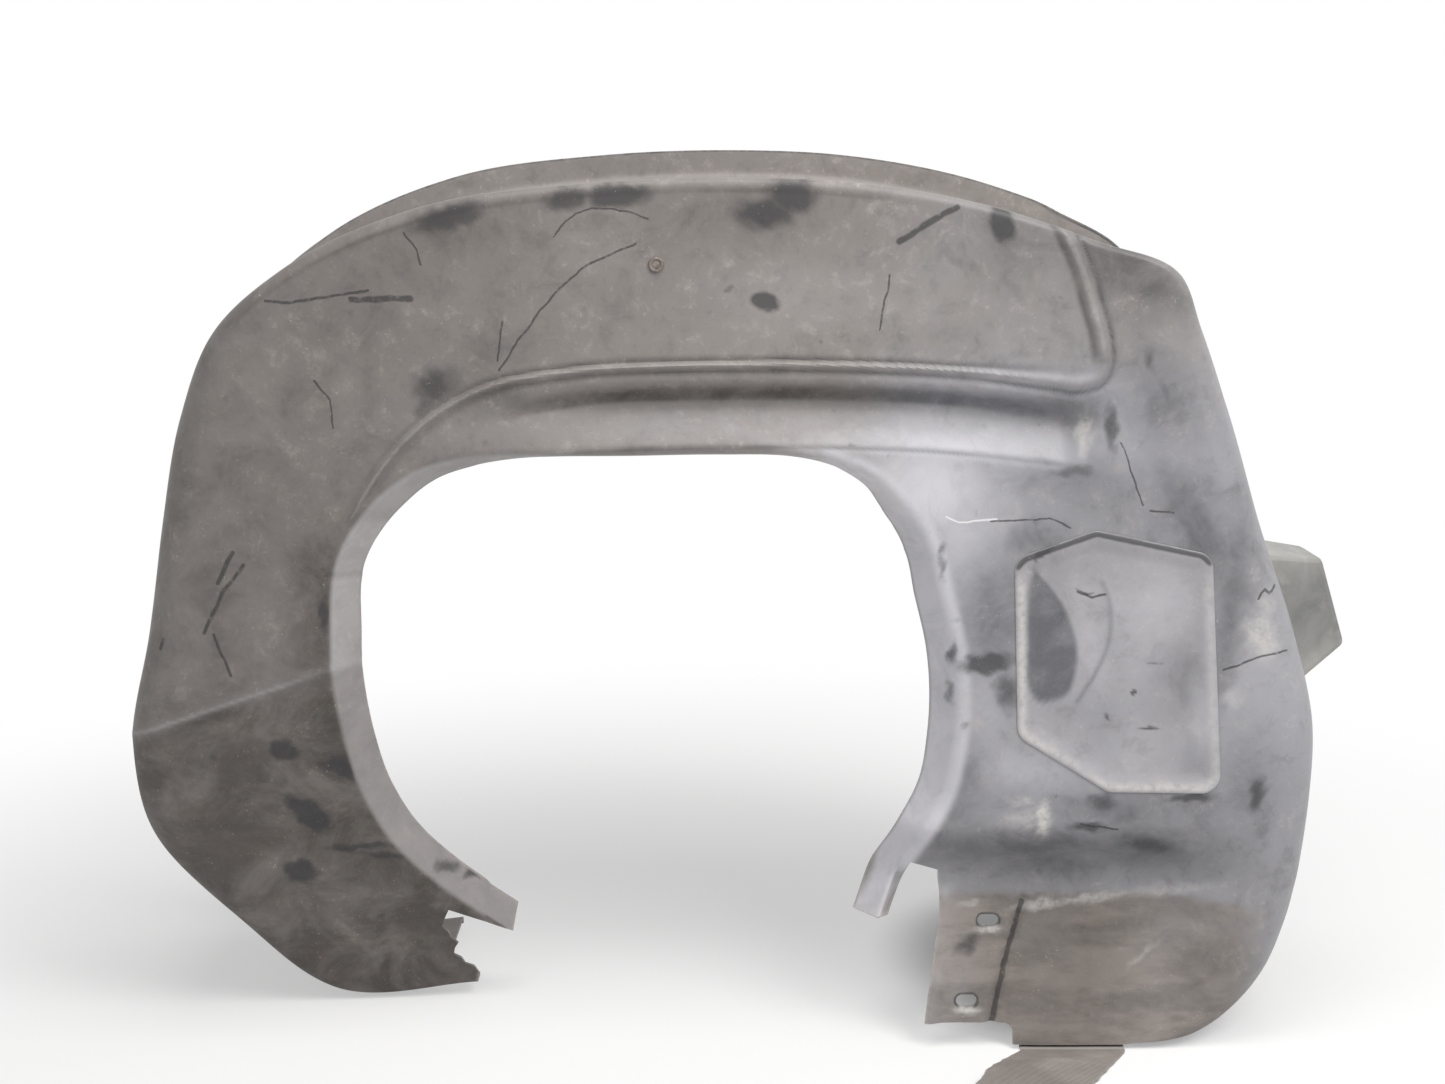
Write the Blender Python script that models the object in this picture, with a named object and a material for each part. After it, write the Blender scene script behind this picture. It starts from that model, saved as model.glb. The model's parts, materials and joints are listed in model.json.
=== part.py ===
"""A moulded wheel-arch liner with its access cover, side bracket, lower flap and fasteners.

Metres, +Z up. The inner wall faces -Y and the wheel space is behind it, at +Y. The liner stands on its two
lower ends, with the origin at the middle of its base.
"""

import math

import bmesh
import bpy
from mathutils import Matrix, Vector

# Overall sizes
ARCH_WIDTH = 0.826
ARCH_HEIGHT = 0.612
TREAD_DEPTH = 0.240
SHELL_WALL = 0.003

# Clearance between pieces that touch, and around what slides or is pushed in
TOUCH_GAP = 0.0003
SLIDE_GAP = 0.0005

# The two outlines are drawn at this width and height, and stretched to the sizes above
DRAWN_WIDTH = 0.826
DRAWN_HEIGHT = 0.612

# Arch stations, from the left lower end over the top to the right: the wall's edge at the opening (x, z),
# the fold line (x, z), the fold's radius, how far the flange turns in and how far it goes back
ARCH_STATIONS = [
    ((-0.177, 0.072), (-0.186, 0.010), 0.005, 0.017, 0.022),
    ((-0.206, 0.098), (-0.290, 0.009), 0.007, 0.017, 0.022),
    ((-0.240, 0.141), (-0.357, 0.074), 0.014, 0.017, 0.022),
    ((-0.257, 0.183), (-0.412, 0.158), 0.022, 0.017, 0.022),
    ((-0.265, 0.226), (-0.415, 0.222), 0.026, 0.017, 0.022),
    ((-0.268, 0.300), (-0.399, 0.302), 0.028, 0.017, 0.022),
    ((-0.262, 0.355), (-0.386, 0.380), 0.028, 0.016, 0.020),
    ((-0.236, 0.395), (-0.370, 0.452), 0.026, 0.016, 0.018),
    ((-0.207, 0.416), (-0.345, 0.508), 0.020, 0.013, 0.016),
    ((-0.172, 0.425), (-0.294, 0.552), 0.012, 0.008, 0.014),
    ((-0.125, 0.427), (-0.203, 0.592), 0.007, 0.003, 0.014),
    ((-0.060, 0.428), (-0.094, 0.608), 0.006, 0.003, 0.014),
    ((0.000, 0.429), (0.000, 0.612), 0.006, 0.003, 0.014),
    ((0.045, 0.428), (0.094, 0.608), 0.006, 0.003, 0.014),
    ((0.080, 0.422), (0.175, 0.594), 0.006, 0.005, 0.014),
    ((0.105, 0.410), (0.250, 0.570), 0.007, 0.009, 0.016),
    ((0.119, 0.397), (0.302, 0.546), 0.009, 0.013, 0.018),
    ((0.130, 0.384), (0.322, 0.512), 0.016, 0.015, 0.020),
    ((0.141, 0.366), (0.342, 0.464), 0.022, 0.017, 0.022),
    ((0.151, 0.330), (0.371, 0.376), 0.024, 0.018, 0.022),
    ((0.161, 0.290), (0.398, 0.302), 0.026, 0.019, 0.022),
    ((0.163, 0.230), (0.415, 0.236), 0.028, 0.019, 0.022),
    ((0.156, 0.192), (0.416, 0.180), 0.030, 0.018, 0.022),
    ((0.141, 0.161), (0.414, 0.150), 0.032, 0.018, 0.022),
    ((0.128, 0.132), (0.412, 0.128), 0.034, 0.018, 0.022),
]
# The lower right panel below the opening, with the fixing tab at its free edge
PANEL_STATIONS = [
    ((0.154, 0.125), (0.411, 0.121), 0.034, 0.0, 0.0),
    ((0.156, 0.100), (0.405, 0.092), 0.034, 0.0, 0.0),
    ((0.155, 0.065), (0.388, 0.050), 0.032, 0.0, 0.0),
    ((0.153, 0.025), (0.347, 0.010), 0.026, 0.0, 0.0),
    ((0.152, 0.004), (0.293, 0.004), 0.010, 0.0, 0.0),
]
# The flange runs on past the wall by these lengths at its left and right ends
FLANGE_TAIL_LEFT = 0.026
FLANGE_TAIL_RIGHT = 0.040

# Mesh rows: along the arch between two stations, and across the section
ROWS_PER_STATION = 3
WALL_ROWS = 13
FOLD_ROWS = 3
TREAD_ROWS = 3
# Part of a station over which the arch's direction is measured
DIRECTION_STEP = 0.02

# Outer lip, turned out at the back of the tread band. It narrows to a low share towards the floor
LIP_WIDTH = 0.022
LIP_FILLET = 0.006
LIP_FILLET_MIDDLE = 0.0018
LIP_LOW_SHARE = 0.15
LIP_FADE_LOW = 0.030
LIP_FADE_HIGH = 0.120

# The left leg leans back below a crease, whose line is given by a point and a slope
LEG_CREASE_X = -0.404
LEG_CREASE_Z = 0.232
LEG_CREASE_SLOPE = 0.343
LEG_LEAN = 0.34
LEG_BLEND = 0.010
LEG_FADE_START = -0.150
LEG_FADE_END = -0.050

# The lower right panel: ridge, valley under it and the panel's own lean
RIDGE_Z = 0.168
VALLEY_Z = 0.118
VALLEY_DEPTH = 0.030
VALLEY_BLEND = 0.010
PANEL_FADE_START = 0.300
PANEL_FADE_END = 0.385
PANEL_LEFT_START = 0.100
PANEL_LEFT_END = 0.128

# Raised band along the top with its crest line, and the trough under the crest
CREST_LINE = [
    (-0.262, 0.350),
    (-0.240, 0.400),
    (-0.190, 0.451),
    (-0.130, 0.475),
    (-0.015, 0.484),
    (0.119, 0.484),
    (0.205, 0.479),
    (0.262, 0.476),
]
TROUGH_DEPTH = 0.014
TROUGH_DROP = 0.016
TROUGH_HEIGHT = 0.075
TROUGH_LEFT_START = -0.180
TROUGH_LEFT_END = -0.090
TROUGH_RIGHT_START = 0.236
TROUGH_RIGHT_END = 0.264
BAND_RISE = 0.003
BAND_EDGE = 0.008
BAND_RIGHT_LOW = (0.258, 0.480)
BAND_RIGHT_HIGH = (0.228, 0.580)

# Access cover: corners of its outline (x, z), read clockwise from the top left
COVER_CORNERS = [
    (0.199, 0.356),
    (0.254, 0.376),
    (0.334, 0.359),
    (0.347, 0.190),
    (0.268, 0.191),
    (0.204, 0.231),
]
COVER_CORNER_RADIUS = 0.013
COVER_LEAST_RADIUS = 0.002
COVER_RIM_WIDTH = 0.006
COVER_RIM_HEIGHT = 0.0020
COVER_RIM_EDGE = 0.0008
COVER_BEVEL_WIDTH = 0.003
COVER_SINK = 0.0022
COVER_WALL = 0.0025
COVER_LEG_LENGTH = 0.014
COVER_LEG_WIDTH = 0.014
COVER_LEG_THICKNESS = 0.002
COVER_LEG_SIDES = [0, 2, 3, 5]

# Fixing tab: two round-ended slots (centre x, z)
TAB_SLOTS = [(0.190, 0.089), (0.174, 0.034)]
TAB_SLOT_LENGTH = 0.015
TAB_SLOT_WIDTH = 0.0085

# Notch under the fixing tab
TAB_FOOT_RIGHT = 0.207
TAB_FOOT_HEIGHT = 0.019

# Torn left end: the wall's missing piece (corners x, z), where the tread band is torn off, and how far the
# band still reaches back behind the wall there
TEAR_CORNERS = [
    (-0.203, 0.078),
    (-0.209, 0.063),
    (-0.198, 0.048),
    (-0.202, 0.038),
    (-0.181, 0.019),
    (-0.120, 0.019),
    (-0.150, 0.052),
    (-0.176, 0.066),
]
TREAD_TEAR_LEFT = -0.215
TREAD_TEAR_RIGHT = -0.120
TREAD_TEAR_HEIGHT = 0.060
TREAD_TEAR_START = 0.014

# How far a cutter reaches past the surface it cuts, and the deeper reach of the tear
CUTTER_REACH = 0.020
TEAR_REACH = 0.030

# Round plug in the upper band
PLUG_PLACE = (-0.044, 0.555)
PLUG_HEAD_DIAMETER = 0.0105
PLUG_HEAD_FLAT_DIAMETER = 0.0063
PLUG_HEAD_HEIGHT = 0.0016
PLUG_HEAD_EDGE = 0.0008
PLUG_SHANK_DIAMETER = 0.0064
PLUG_BARB_DIAMETER = 0.0082
PLUG_TIP_DIAMETER = 0.0038
PLUG_BARB_LENGTH = 0.005

# Push retainers on the outer lip, at these stations along the arch
RETAINER_STATIONS = [3.0, 5.0, 7.0, 18.0, 20.0, 22.0]
RETAINER_OFFSET = 0.0130
RETAINER_HEAD_DIAMETER = 0.016
RETAINER_HEAD_FLAT_DIAMETER = 0.0136
RETAINER_HEAD_HEIGHT = 0.0022
RETAINER_HEAD_EDGE = 0.0011
RETAINER_SHANK_DIAMETER = 0.0078
RETAINER_BARB_RISE = 0.0008
RETAINER_TIP_WALL = 0.0004
RETAINER_SHANK_LENGTH = 0.016
RETAINER_PIN_DIAMETER = 0.0042
RETAINER_PIN_TIP_DIAMETER = 0.0021
RETAINER_PIN_TIP_LENGTH = 0.0021
RETAINER_PIN_HEAD_DIAMETER = 0.0105
RETAINER_PIN_HEAD_FLAT_DIAMETER = 0.0074
RETAINER_PIN_HEAD_HEIGHT = 0.0020
RETAINER_PIN_HEAD_EDGE = 0.0008
RETAINER_SLIT_WIDTH = 0.0012
RETAINER_SLIT_START = 0.0045
PUSH_GAP = 0.0004

# Side bracket behind the right fold: between two stations, from one depth to another
BRACKET_STATIONS = (19.3333, 20.6667)
BRACKET_FRONT = 0.045
BRACKET_BACK = 0.125
BRACKET_REACH = 0.041
BRACKET_INSET_ALONG = 0.016
BRACKET_INSET_ACROSS = 0.016
BRACKET_WALL = 0.003
BRACKET_EDGE = 0.004
BRACKET_BOSS_DIAMETER = 0.011
BOSS_BASE_GAP = 0.001
SCREW_SPREAD = 0.030
SCREW_SHANK_DIAMETER = 0.0042
SCREW_SHANK_LENGTH = 0.014
SCREW_HOLE_LENGTH = 0.016
SCREW_TIP_DIAMETER = 0.0008
SCREW_TIP_LENGTH = 0.0042
SCREW_HEAD_DIAMETER = 0.010
SCREW_HEAD_FLAT_DIAMETER = 0.0055
SCREW_HEAD_HEIGHT = 0.0026
SCREW_HEAD_EDGE = 0.0014

# Lower flap and the strip that it hangs on. The strip stands behind the leaning wall, whose thickness along Y
# is this many times the wall's own
FLAP_LEFT = 0.212
FLAP_RIGHT = 0.286
FLAP_FRONT_GAP = 0.004
FLAP_HINGE_GAP = 0.0012
FLAP_LENGTH = 0.095
FLAP_SLANT = 0.60
FLAP_THICKNESS = 0.0018
FLAP_RIDGE_HEIGHT = 0.010
FLAP_RIDGE_REACH = 0.052
FLAP_END_ROUNDING = 0.010
FLAP_COLUMNS = 8
FLAP_ROWS = 10
STRIP_HEIGHT = 0.032
STRIP_THICKNESS = 0.002
STRIP_FOOT_LIFT = 0.0003
STRIP_COLUMNS = 6
STRIP_ROWS = 4
LEANING_WALL = 1.3

ROUND_STEPS = 20
CORNER_STEPS = 5
SHARP_ANGLE = math.radians(35)
BEVEL_ANGLE = math.radians(40)


def clear_scene():
    for old in list(bpy.data.objects):
        bpy.data.objects.remove(old, do_unlink=True)


def smooth(value, low, high):
    """0 below low, 1 above high, and an S-curve between."""
    share = min(max((value - low) / (high - low), 0.0), 1.0)
    return share * share * (3.0 - 2.0 * share)


def soft_ramp(value, blend):
    """Zero for a negative value and the value itself for a positive one, rounded over the blend length."""
    return 0.5 * (value + math.sqrt(value * value + blend * blend))


def stretched(point):
    """A drawn (x, z) point at the liner's own width and height."""
    return (point[0] * ARCH_WIDTH / DRAWN_WIDTH, point[1] * ARCH_HEIGHT / DRAWN_HEIGHT)


def drawn(x, z):
    """The drawn place of a point of the liner."""
    return (x * DRAWN_WIDTH / ARCH_WIDTH, z * DRAWN_HEIGHT / ARCH_HEIGHT)


def line_height(line, x):
    """Height of a polyline of (x, z) points at x."""
    if x <= line[0][0]:
        return line[0][1]
    for (x_a, z_a), (x_b, z_b) in zip(line, line[1:]):
        if x <= x_b:
            return z_a + (z_b - z_a) * (x - x_a) / (x_b - x_a)
    return line[-1][1]


def leg_depth(x, z):
    crease = LEG_CREASE_Z + LEG_CREASE_SLOPE * (x - LEG_CREASE_X)
    share = 1.0 - smooth(x, LEG_FADE_START, LEG_FADE_END)
    return share * LEG_LEAN * soft_ramp(crease - z, LEG_BLEND)


def panel_depth(x, z):
    if x < PANEL_LEFT_START:
        return 0.0
    under_ridge = VALLEY_DEPTH * smooth(RIDGE_Z - z, 0.0, RIDGE_Z - VALLEY_Z)
    below_valley = soft_ramp(VALLEY_Z - z, VALLEY_BLEND) * VALLEY_DEPTH / VALLEY_Z
    share = smooth(x, PANEL_LEFT_START, PANEL_LEFT_END)
    share *= 1.0 - smooth(x, PANEL_FADE_START, PANEL_FADE_END)
    return share * max(under_ridge - below_valley, 0.0)


def trough_depth(x, z):
    fall = line_height(CREST_LINE, x) - z
    if fall <= 0.0 or fall >= TROUGH_HEIGHT:
        return 0.0
    down = smooth(fall, 0.0, TROUGH_DROP)
    back_out = 1.0 - smooth(fall, TROUGH_DROP, TROUGH_HEIGHT)
    share = smooth(x, TROUGH_LEFT_START, TROUGH_LEFT_END)
    share *= 1.0 - smooth(x, TROUGH_RIGHT_START, TROUGH_RIGHT_END)
    return TROUGH_DEPTH * share * min(down, back_out)


def band_rise(x, z):
    above = z - line_height(CREST_LINE, x)
    (low_x, low_z), (high_x, high_z) = BAND_RIGHT_LOW, BAND_RIGHT_HIGH
    edge_x = low_x + (high_x - low_x) * (z - low_z) / (high_z - low_z)
    inside = smooth(above, -BAND_EDGE, 0.0) * smooth(edge_x - x, 0.0, BAND_EDGE)
    return BAND_RISE * inside


def wall_depth(x, z):
    """How far back (+Y) the wall's front face lies at a point of the liner."""
    x, z = drawn(x, z)
    return leg_depth(x, z) + panel_depth(x, z) + trough_depth(x, z) - band_rise(x, z)


def spline(points, place):
    """A smooth curve through points of any dimension; place counts them from 0."""
    last = len(points) - 1
    index = min(int(place), last - 1)
    share = place - index
    nodes = [Vector(points[min(max(i, 0), last)]) for i in range(index - 1, index + 3)]
    steps = [max((b - a).length, 1e-6) for a, b in zip(nodes, nodes[1:])]
    start, end = nodes[1], nodes[2]

    def slope(before, middle, after, step_before, step_after):
        forward = (after - middle) / step_after
        backward = (middle - before) / step_before
        return (forward * step_before + backward * step_after) / (step_before + step_after)

    slope_start = (end - start) / steps[1]
    slope_end = slope_start
    if index > 0:
        slope_start = slope(nodes[0], start, end, steps[0], steps[1])
    if index < last - 1:
        slope_end = slope(start, end, nodes[3], steps[1], steps[2])
    square, cube = share * share, share * share * share
    return (
        start * (2 * cube - 3 * square + 1)
        + slope_start * steps[1] * (cube - 2 * square + share)
        + end * (3 * square - 2 * cube)
        + slope_end * steps[1] * (cube - square)
    )


class Station:
    """One section across the arch: edge and fold points, fold radius, flange turn and outward direction."""

    def __init__(self, stations, place):
        last = len(stations) - 1
        edges = [stretched(row[0]) for row in stations]
        folds = [stretched(row[1]) for row in stations]
        sizes = [row[2:] for row in stations]
        self.edge = spline(edges, place)
        self.fold = spline(folds, place)
        self.radius, self.flange_in, self.flange_back = spline(sizes, place)
        ahead = spline(folds, min(place + DIRECTION_STEP, last))
        behind = spline(folds, max(place - DIRECTION_STEP, 0.0))
        along = (ahead - behind).normalized()
        self.outward = Vector((-along.y, along.x))
        self.across = (self.fold - self.edge).normalized()

    def wall_point(self, flat, back=0.0):
        return Vector((flat.x, wall_depth(flat.x, flat.y) + back, flat.y))

    def flange_tip(self, shift=Vector((0.0, 0.0))):
        flat = self.edge - self.across * self.flange_in + shift
        base = self.edge + shift
        return Vector((flat.x, wall_depth(base.x, base.y) + self.flange_back, flat.y))

    def tread_point(self, depth, out=0.0):
        flat = self.fold + self.outward * out
        return Vector((flat.x, depth, flat.y))

    def lip_share(self):
        _, height = drawn(self.fold.x, self.fold.y)
        return LIP_LOW_SHARE + (1.0 - LIP_LOW_SHARE) * smooth(height, LIP_FADE_LOW, LIP_FADE_HIGH)

    def section(self):
        """Points from the wall's edge over the fold to the lip."""
        points = []
        fold_start = self.fold - self.across * self.radius
        for row in range(WALL_ROWS + 1):
            points.append(self.wall_point(self.edge.lerp(fold_start, row / WALL_ROWS)))
        for row in range(1, FOLD_ROWS + 1):
            turn = 0.5 * math.pi * row / FOLD_ROWS
            flat = self.fold - self.across * self.radius * (1.0 - math.sin(turn))
            points.append(self.wall_point(flat, self.radius * (1.0 - math.cos(turn))))
        tread_start = points[-1].y
        tread_end = TREAD_DEPTH - LIP_FILLET
        for row in range(1, TREAD_ROWS + 1):
            points.append(self.tread_point(tread_start + (tread_end - tread_start) * row / TREAD_ROWS))
        share = self.lip_share()
        points.append(self.tread_point(TREAD_DEPTH - LIP_FILLET_MIDDLE, LIP_FILLET_MIDDLE * share))
        points.append(self.tread_point(TREAD_DEPTH, LIP_FILLET * share))
        points.append(self.tread_point(TREAD_DEPTH, LIP_WIDTH * share))
        return points


def station_places(stations):
    count = (len(stations) - 1) * ROWS_PER_STATION
    return [row / ROWS_PER_STATION for row in range(count + 1)]


def add_faces(mesh, first, second):
    """Quads between two rows of vertices of the same length."""
    for a, b, c, d in zip(first, first[1:], second[1:], second):
        mesh.faces.new((a, b, c, d))


def new_object(name, mesh, material, origin=Vector((0.0, 0.0, 0.0)), helper=False):
    """An object of its own from a bmesh, with its origin at the given point."""
    bmesh.ops.translate(mesh, verts=mesh.verts, vec=-origin)
    data = bpy.data.meshes.new(name)
    mesh.to_mesh(data)
    mesh.free()
    made = bpy.data.objects.new(name, data)
    made.location = origin
    bpy.context.scene.collection.objects.link(made)
    if helper:
        made.hide_render = True
        made.display_type = "WIRE"
        return made
    data.materials.append(material)
    data.shade_smooth()
    data.set_sharp_from_angle(angle=SHARP_ANGLE)
    return made


def face_out(mesh):
    """Turns the faces of a closed body outwards."""
    bmesh.ops.recalc_face_normals(mesh, faces=mesh.faces)
    if mesh.calc_volume(signed=True) < 0.0:
        bmesh.ops.reverse_faces(mesh, faces=mesh.faces)


def cut(target, tool, operation="DIFFERENCE"):
    change = target.modifiers.new(tool.name, "BOOLEAN")
    change.operation = operation
    change.object = tool
    change.solver = "EXACT"


def rounded_outline(corners, radius):
    """An outline of (x, z) points with its corners rounded by arcs."""
    outline = []
    count = len(corners)
    for index in range(count):
        corner = Vector(corners[index])
        to_last = (Vector(corners[index - 1]) - corner).normalized()
        to_next = (Vector(corners[(index + 1) % count]) - corner).normalized()
        half = 0.5 * to_last.angle(to_next)
        setback = radius / math.tan(half)
        centre = corner + (to_last + to_next).normalized() * radius / math.sin(half)
        start = corner + to_last * setback - centre
        end = corner + to_next * setback - centre
        for step in range(CORNER_STEPS + 1):
            outline.append(centre + start.slerp(end, step / CORNER_STEPS).normalized() * radius)
    return outline


def inset_corners(corners, distance):
    """The corners of a clockwise outline moved inwards by one distance on every side."""
    moved = []
    count = len(corners)
    for index in range(count):
        corner = Vector(corners[index])
        from_last = (corner - Vector(corners[index - 1])).normalized()
        to_next = (Vector(corners[(index + 1) % count]) - corner).normalized()
        inward = Vector((from_last.y, -from_last.x)) + Vector((to_next.y, -to_next.x))
        inward.normalize()
        half = 0.5 * (math.pi - from_last.angle(to_next))
        moved.append(corner + inward * distance / math.sin(half))
    return moved


def loft(mesh, outlines):
    """A closed body through (outline, depth) pairs of equal point counts, capped at both ends."""
    loops = []
    for outline, depth in outlines:
        loops.append([mesh.verts.new((point[0], depth, point[1])) for point in outline])
    for first, second in zip(loops, loops[1:]):
        for index in range(len(first)):
            after = (index + 1) % len(first)
            mesh.faces.new((first[index], first[after], second[after], second[index]))
    mesh.faces.new(loops[0])
    mesh.faces.new(loops[-1])
    face_out(mesh)


def turned(mesh, profile, place, axis):
    """A turned body: profile points are (radius, distance along the axis), from one end to the other."""
    turn = Vector((0.0, 0.0, 1.0)).rotation_difference(axis).to_matrix().to_4x4()
    frame = Matrix.Translation(place) @ turn
    loops = []
    for radius, along in profile:
        if radius == 0.0:
            loops.append([mesh.verts.new(frame @ Vector((0.0, 0.0, along)))])
            continue
        loop = []
        for step in range(ROUND_STEPS):
            angle = 2.0 * math.pi * step / ROUND_STEPS
            loop.append(mesh.verts.new(frame @ Vector((radius * math.cos(angle), radius * math.sin(angle), along))))
        loops.append(loop)
    pairs = list(zip(loops, loops[1:]))
    for first, second in pairs:
        bridge_rings(mesh, first, second)
    return loops


def bridge_rings(mesh, first, second):
    """Faces between two rings, where either may be a single point."""
    for step in range(ROUND_STEPS):
        after = (step + 1) % ROUND_STEPS
        if len(first) == 1:
            mesh.faces.new((first[0], second[after], second[step]))
        elif len(second) == 1:
            mesh.faces.new((first[step], first[after], second[0]))
        else:
            mesh.faces.new((first[step], first[after], second[after], second[step]))


def turned_solid(profile, place, axis):
    """A turned body with pointed or flat ends."""
    mesh = bmesh.new()
    points = [(0.0, profile[0][1])] + list(profile) + [(0.0, profile[-1][1])]
    turned(mesh, points, place, axis)
    face_out(mesh)
    return mesh


def turned_tube(outer, inner, place, axis):
    """A turned body with a bore right through: the outer profile and then the inner one, back to the start."""
    mesh = bmesh.new()
    loops = turned(mesh, list(outer) + list(reversed(inner)), place, axis)
    bridge_rings(mesh, loops[-1], loops[0])
    face_out(mesh)
    return mesh


def box_mesh(frame, size):
    """A box centred on a frame."""
    mesh = bmesh.new()
    bmesh.ops.create_cube(mesh, size=1.0, matrix=frame @ Matrix.Diagonal((*size, 1.0)))
    return mesh


def material(name, colour, roughness):
    made = bpy.data.materials.new(name)
    made.use_nodes = True
    shader = made.node_tree.nodes["Principled BSDF"]
    shader.inputs["Base Color"].default_value = (*colour, 1.0)
    shader.inputs["Roughness"].default_value = roughness
    shader.inputs["Metallic"].default_value = 0.0
    return made


def arch_station(place):
    return Station(ARCH_STATIONS, place)


def cover_corners():
    """The cover's outline keeps its size, and moves with the wall around it."""
    middle_x = sum(corner[0] for corner in COVER_CORNERS) / len(COVER_CORNERS)
    middle_z = sum(corner[1] for corner in COVER_CORNERS) / len(COVER_CORNERS)
    place_x, place_z = stretched((middle_x, middle_z))
    return [Vector((x - middle_x + place_x, z - middle_z + place_z)) for x, z in COVER_CORNERS]


def cover_outline(inset):
    radius = max(COVER_CORNER_RADIUS - inset, COVER_LEAST_RADIUS)
    return rounded_outline(inset_corners(cover_corners(), inset), radius)


def build_shell(plastic):
    mesh = bmesh.new()
    arch = [Station(ARCH_STATIONS, place) for place in station_places(ARCH_STATIONS)]
    panel = [Station(PANEL_STATIONS, place) for place in station_places(PANEL_STATIONS)]
    rows = [[mesh.verts.new(point) for point in station.section()] for station in arch + panel]
    for first, second in zip(rows, rows[1:]):
        add_faces(mesh, second, first)

    flange = [(rows[index][0], mesh.verts.new(arch[index].flange_tip())) for index in range(len(arch))]
    for end, beside, tail in ((arch[0], arch[1], FLANGE_TAIL_LEFT), (arch[-1], arch[-2], FLANGE_TAIL_RIGHT)):
        shift = (end.edge - beside.edge).normalized() * tail
        base = mesh.verts.new(end.wall_point(end.edge + shift))
        tip = mesh.verts.new(end.flange_tip(shift))
        flange.insert(0 if end is arch[0] else len(flange), (base, tip))
    for (base_a, tip_a), (base_b, tip_b) in zip(flange, flange[1:]):
        mesh.faces.new((tip_b, base_b, base_a, tip_a))
    shell = new_object("liner_shell", mesh, plastic)
    skin = shell.modifiers.new("wall_thickness", "SOLIDIFY")
    skin.thickness = SHELL_WALL
    skin.offset = -1.0
    return shell


def prism_cutter(name, outline, front, back):
    """A prism along Y between two depths."""
    mesh = bmesh.new()
    loft(mesh, [(outline, front), (outline, back)])
    return new_object(name, mesh, None, helper=True)


def through_cutter(name, outline, middle, reach=CUTTER_REACH):
    """A prism along Y, long enough to pass through the wall at a depth."""
    return prism_cutter(name, outline, middle - reach, middle + reach)


def circle(place, diameter):
    outline = []
    for step in range(ROUND_STEPS):
        angle = 2.0 * math.pi * step / ROUND_STEPS
        outline.append((place[0] + 0.5 * diameter * math.cos(angle), place[1] + 0.5 * diameter * math.sin(angle)))
    return outline


def slot_outline(place):
    """A round-ended slot along X."""
    outline = []
    run = 0.5 * (TAB_SLOT_LENGTH - TAB_SLOT_WIDTH)
    for x, z in circle((0.0, 0.0), TAB_SLOT_WIDTH):
        outline.append((place[0] + x + math.copysign(run, x), place[1] + z))
    return outline


def retainer_place(place):
    """Middle of a retainer's hole, on the lip's front face."""
    return arch_station(place).tread_point(TREAD_DEPTH, RETAINER_OFFSET)


def under_block(left, right, height):
    """Outline of a block that takes away everything below a height between two drawn places."""
    corners = [(left, -CUTTER_REACH), (left, height), (right, height), (right, -CUTTER_REACH)]
    return [stretched(corner) for corner in corners]


def cut_torn_end(shell):
    tear = [stretched(corner) for corner in TEAR_CORNERS]
    cut(shell, through_cutter("cutter_tear", tear, wall_depth(*tear[2]), TEAR_REACH))
    wall_foot = wall_depth(*stretched((TREAD_TEAR_LEFT, 0.0))) + SHELL_WALL
    band = under_block(TREAD_TEAR_LEFT, TREAD_TEAR_RIGHT, TREAD_TEAR_HEIGHT)
    cut(shell, prism_cutter("cutter_tread_tear", band, wall_foot + TREAD_TEAR_START, TREAD_DEPTH + CUTTER_REACH))


def cut_shell_holes(shell):
    cut(shell, through_cutter("cutter_cover", cover_outline(COVER_RIM_WIDTH), 0.0))
    for index, place in enumerate(TAB_SLOTS, start=1):
        x, z = stretched(place)
        cut(shell, through_cutter(f"cutter_slot_{index}", slot_outline((x, z)), wall_depth(x, z)))
    cut(shell, through_cutter("cutter_tab_foot", under_block(PANEL_LEFT_START, TAB_FOOT_RIGHT, TAB_FOOT_HEIGHT), 0.0))
    cut_torn_end(shell)
    plug = stretched(PLUG_PLACE)
    hole = circle(plug, PLUG_SHANK_DIAMETER + 2.0 * PUSH_GAP)
    cut(shell, through_cutter("cutter_plug", hole, wall_depth(*plug)))
    for index, place in enumerate(RETAINER_STATIONS, start=1):
        point = retainer_place(place)
        hole = circle((point.x, point.z), RETAINER_SHANK_DIAMETER + 2.0 * PUSH_GAP)
        cut(shell, through_cutter(f"cutter_retainer_{index}", hole, point.y))


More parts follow.
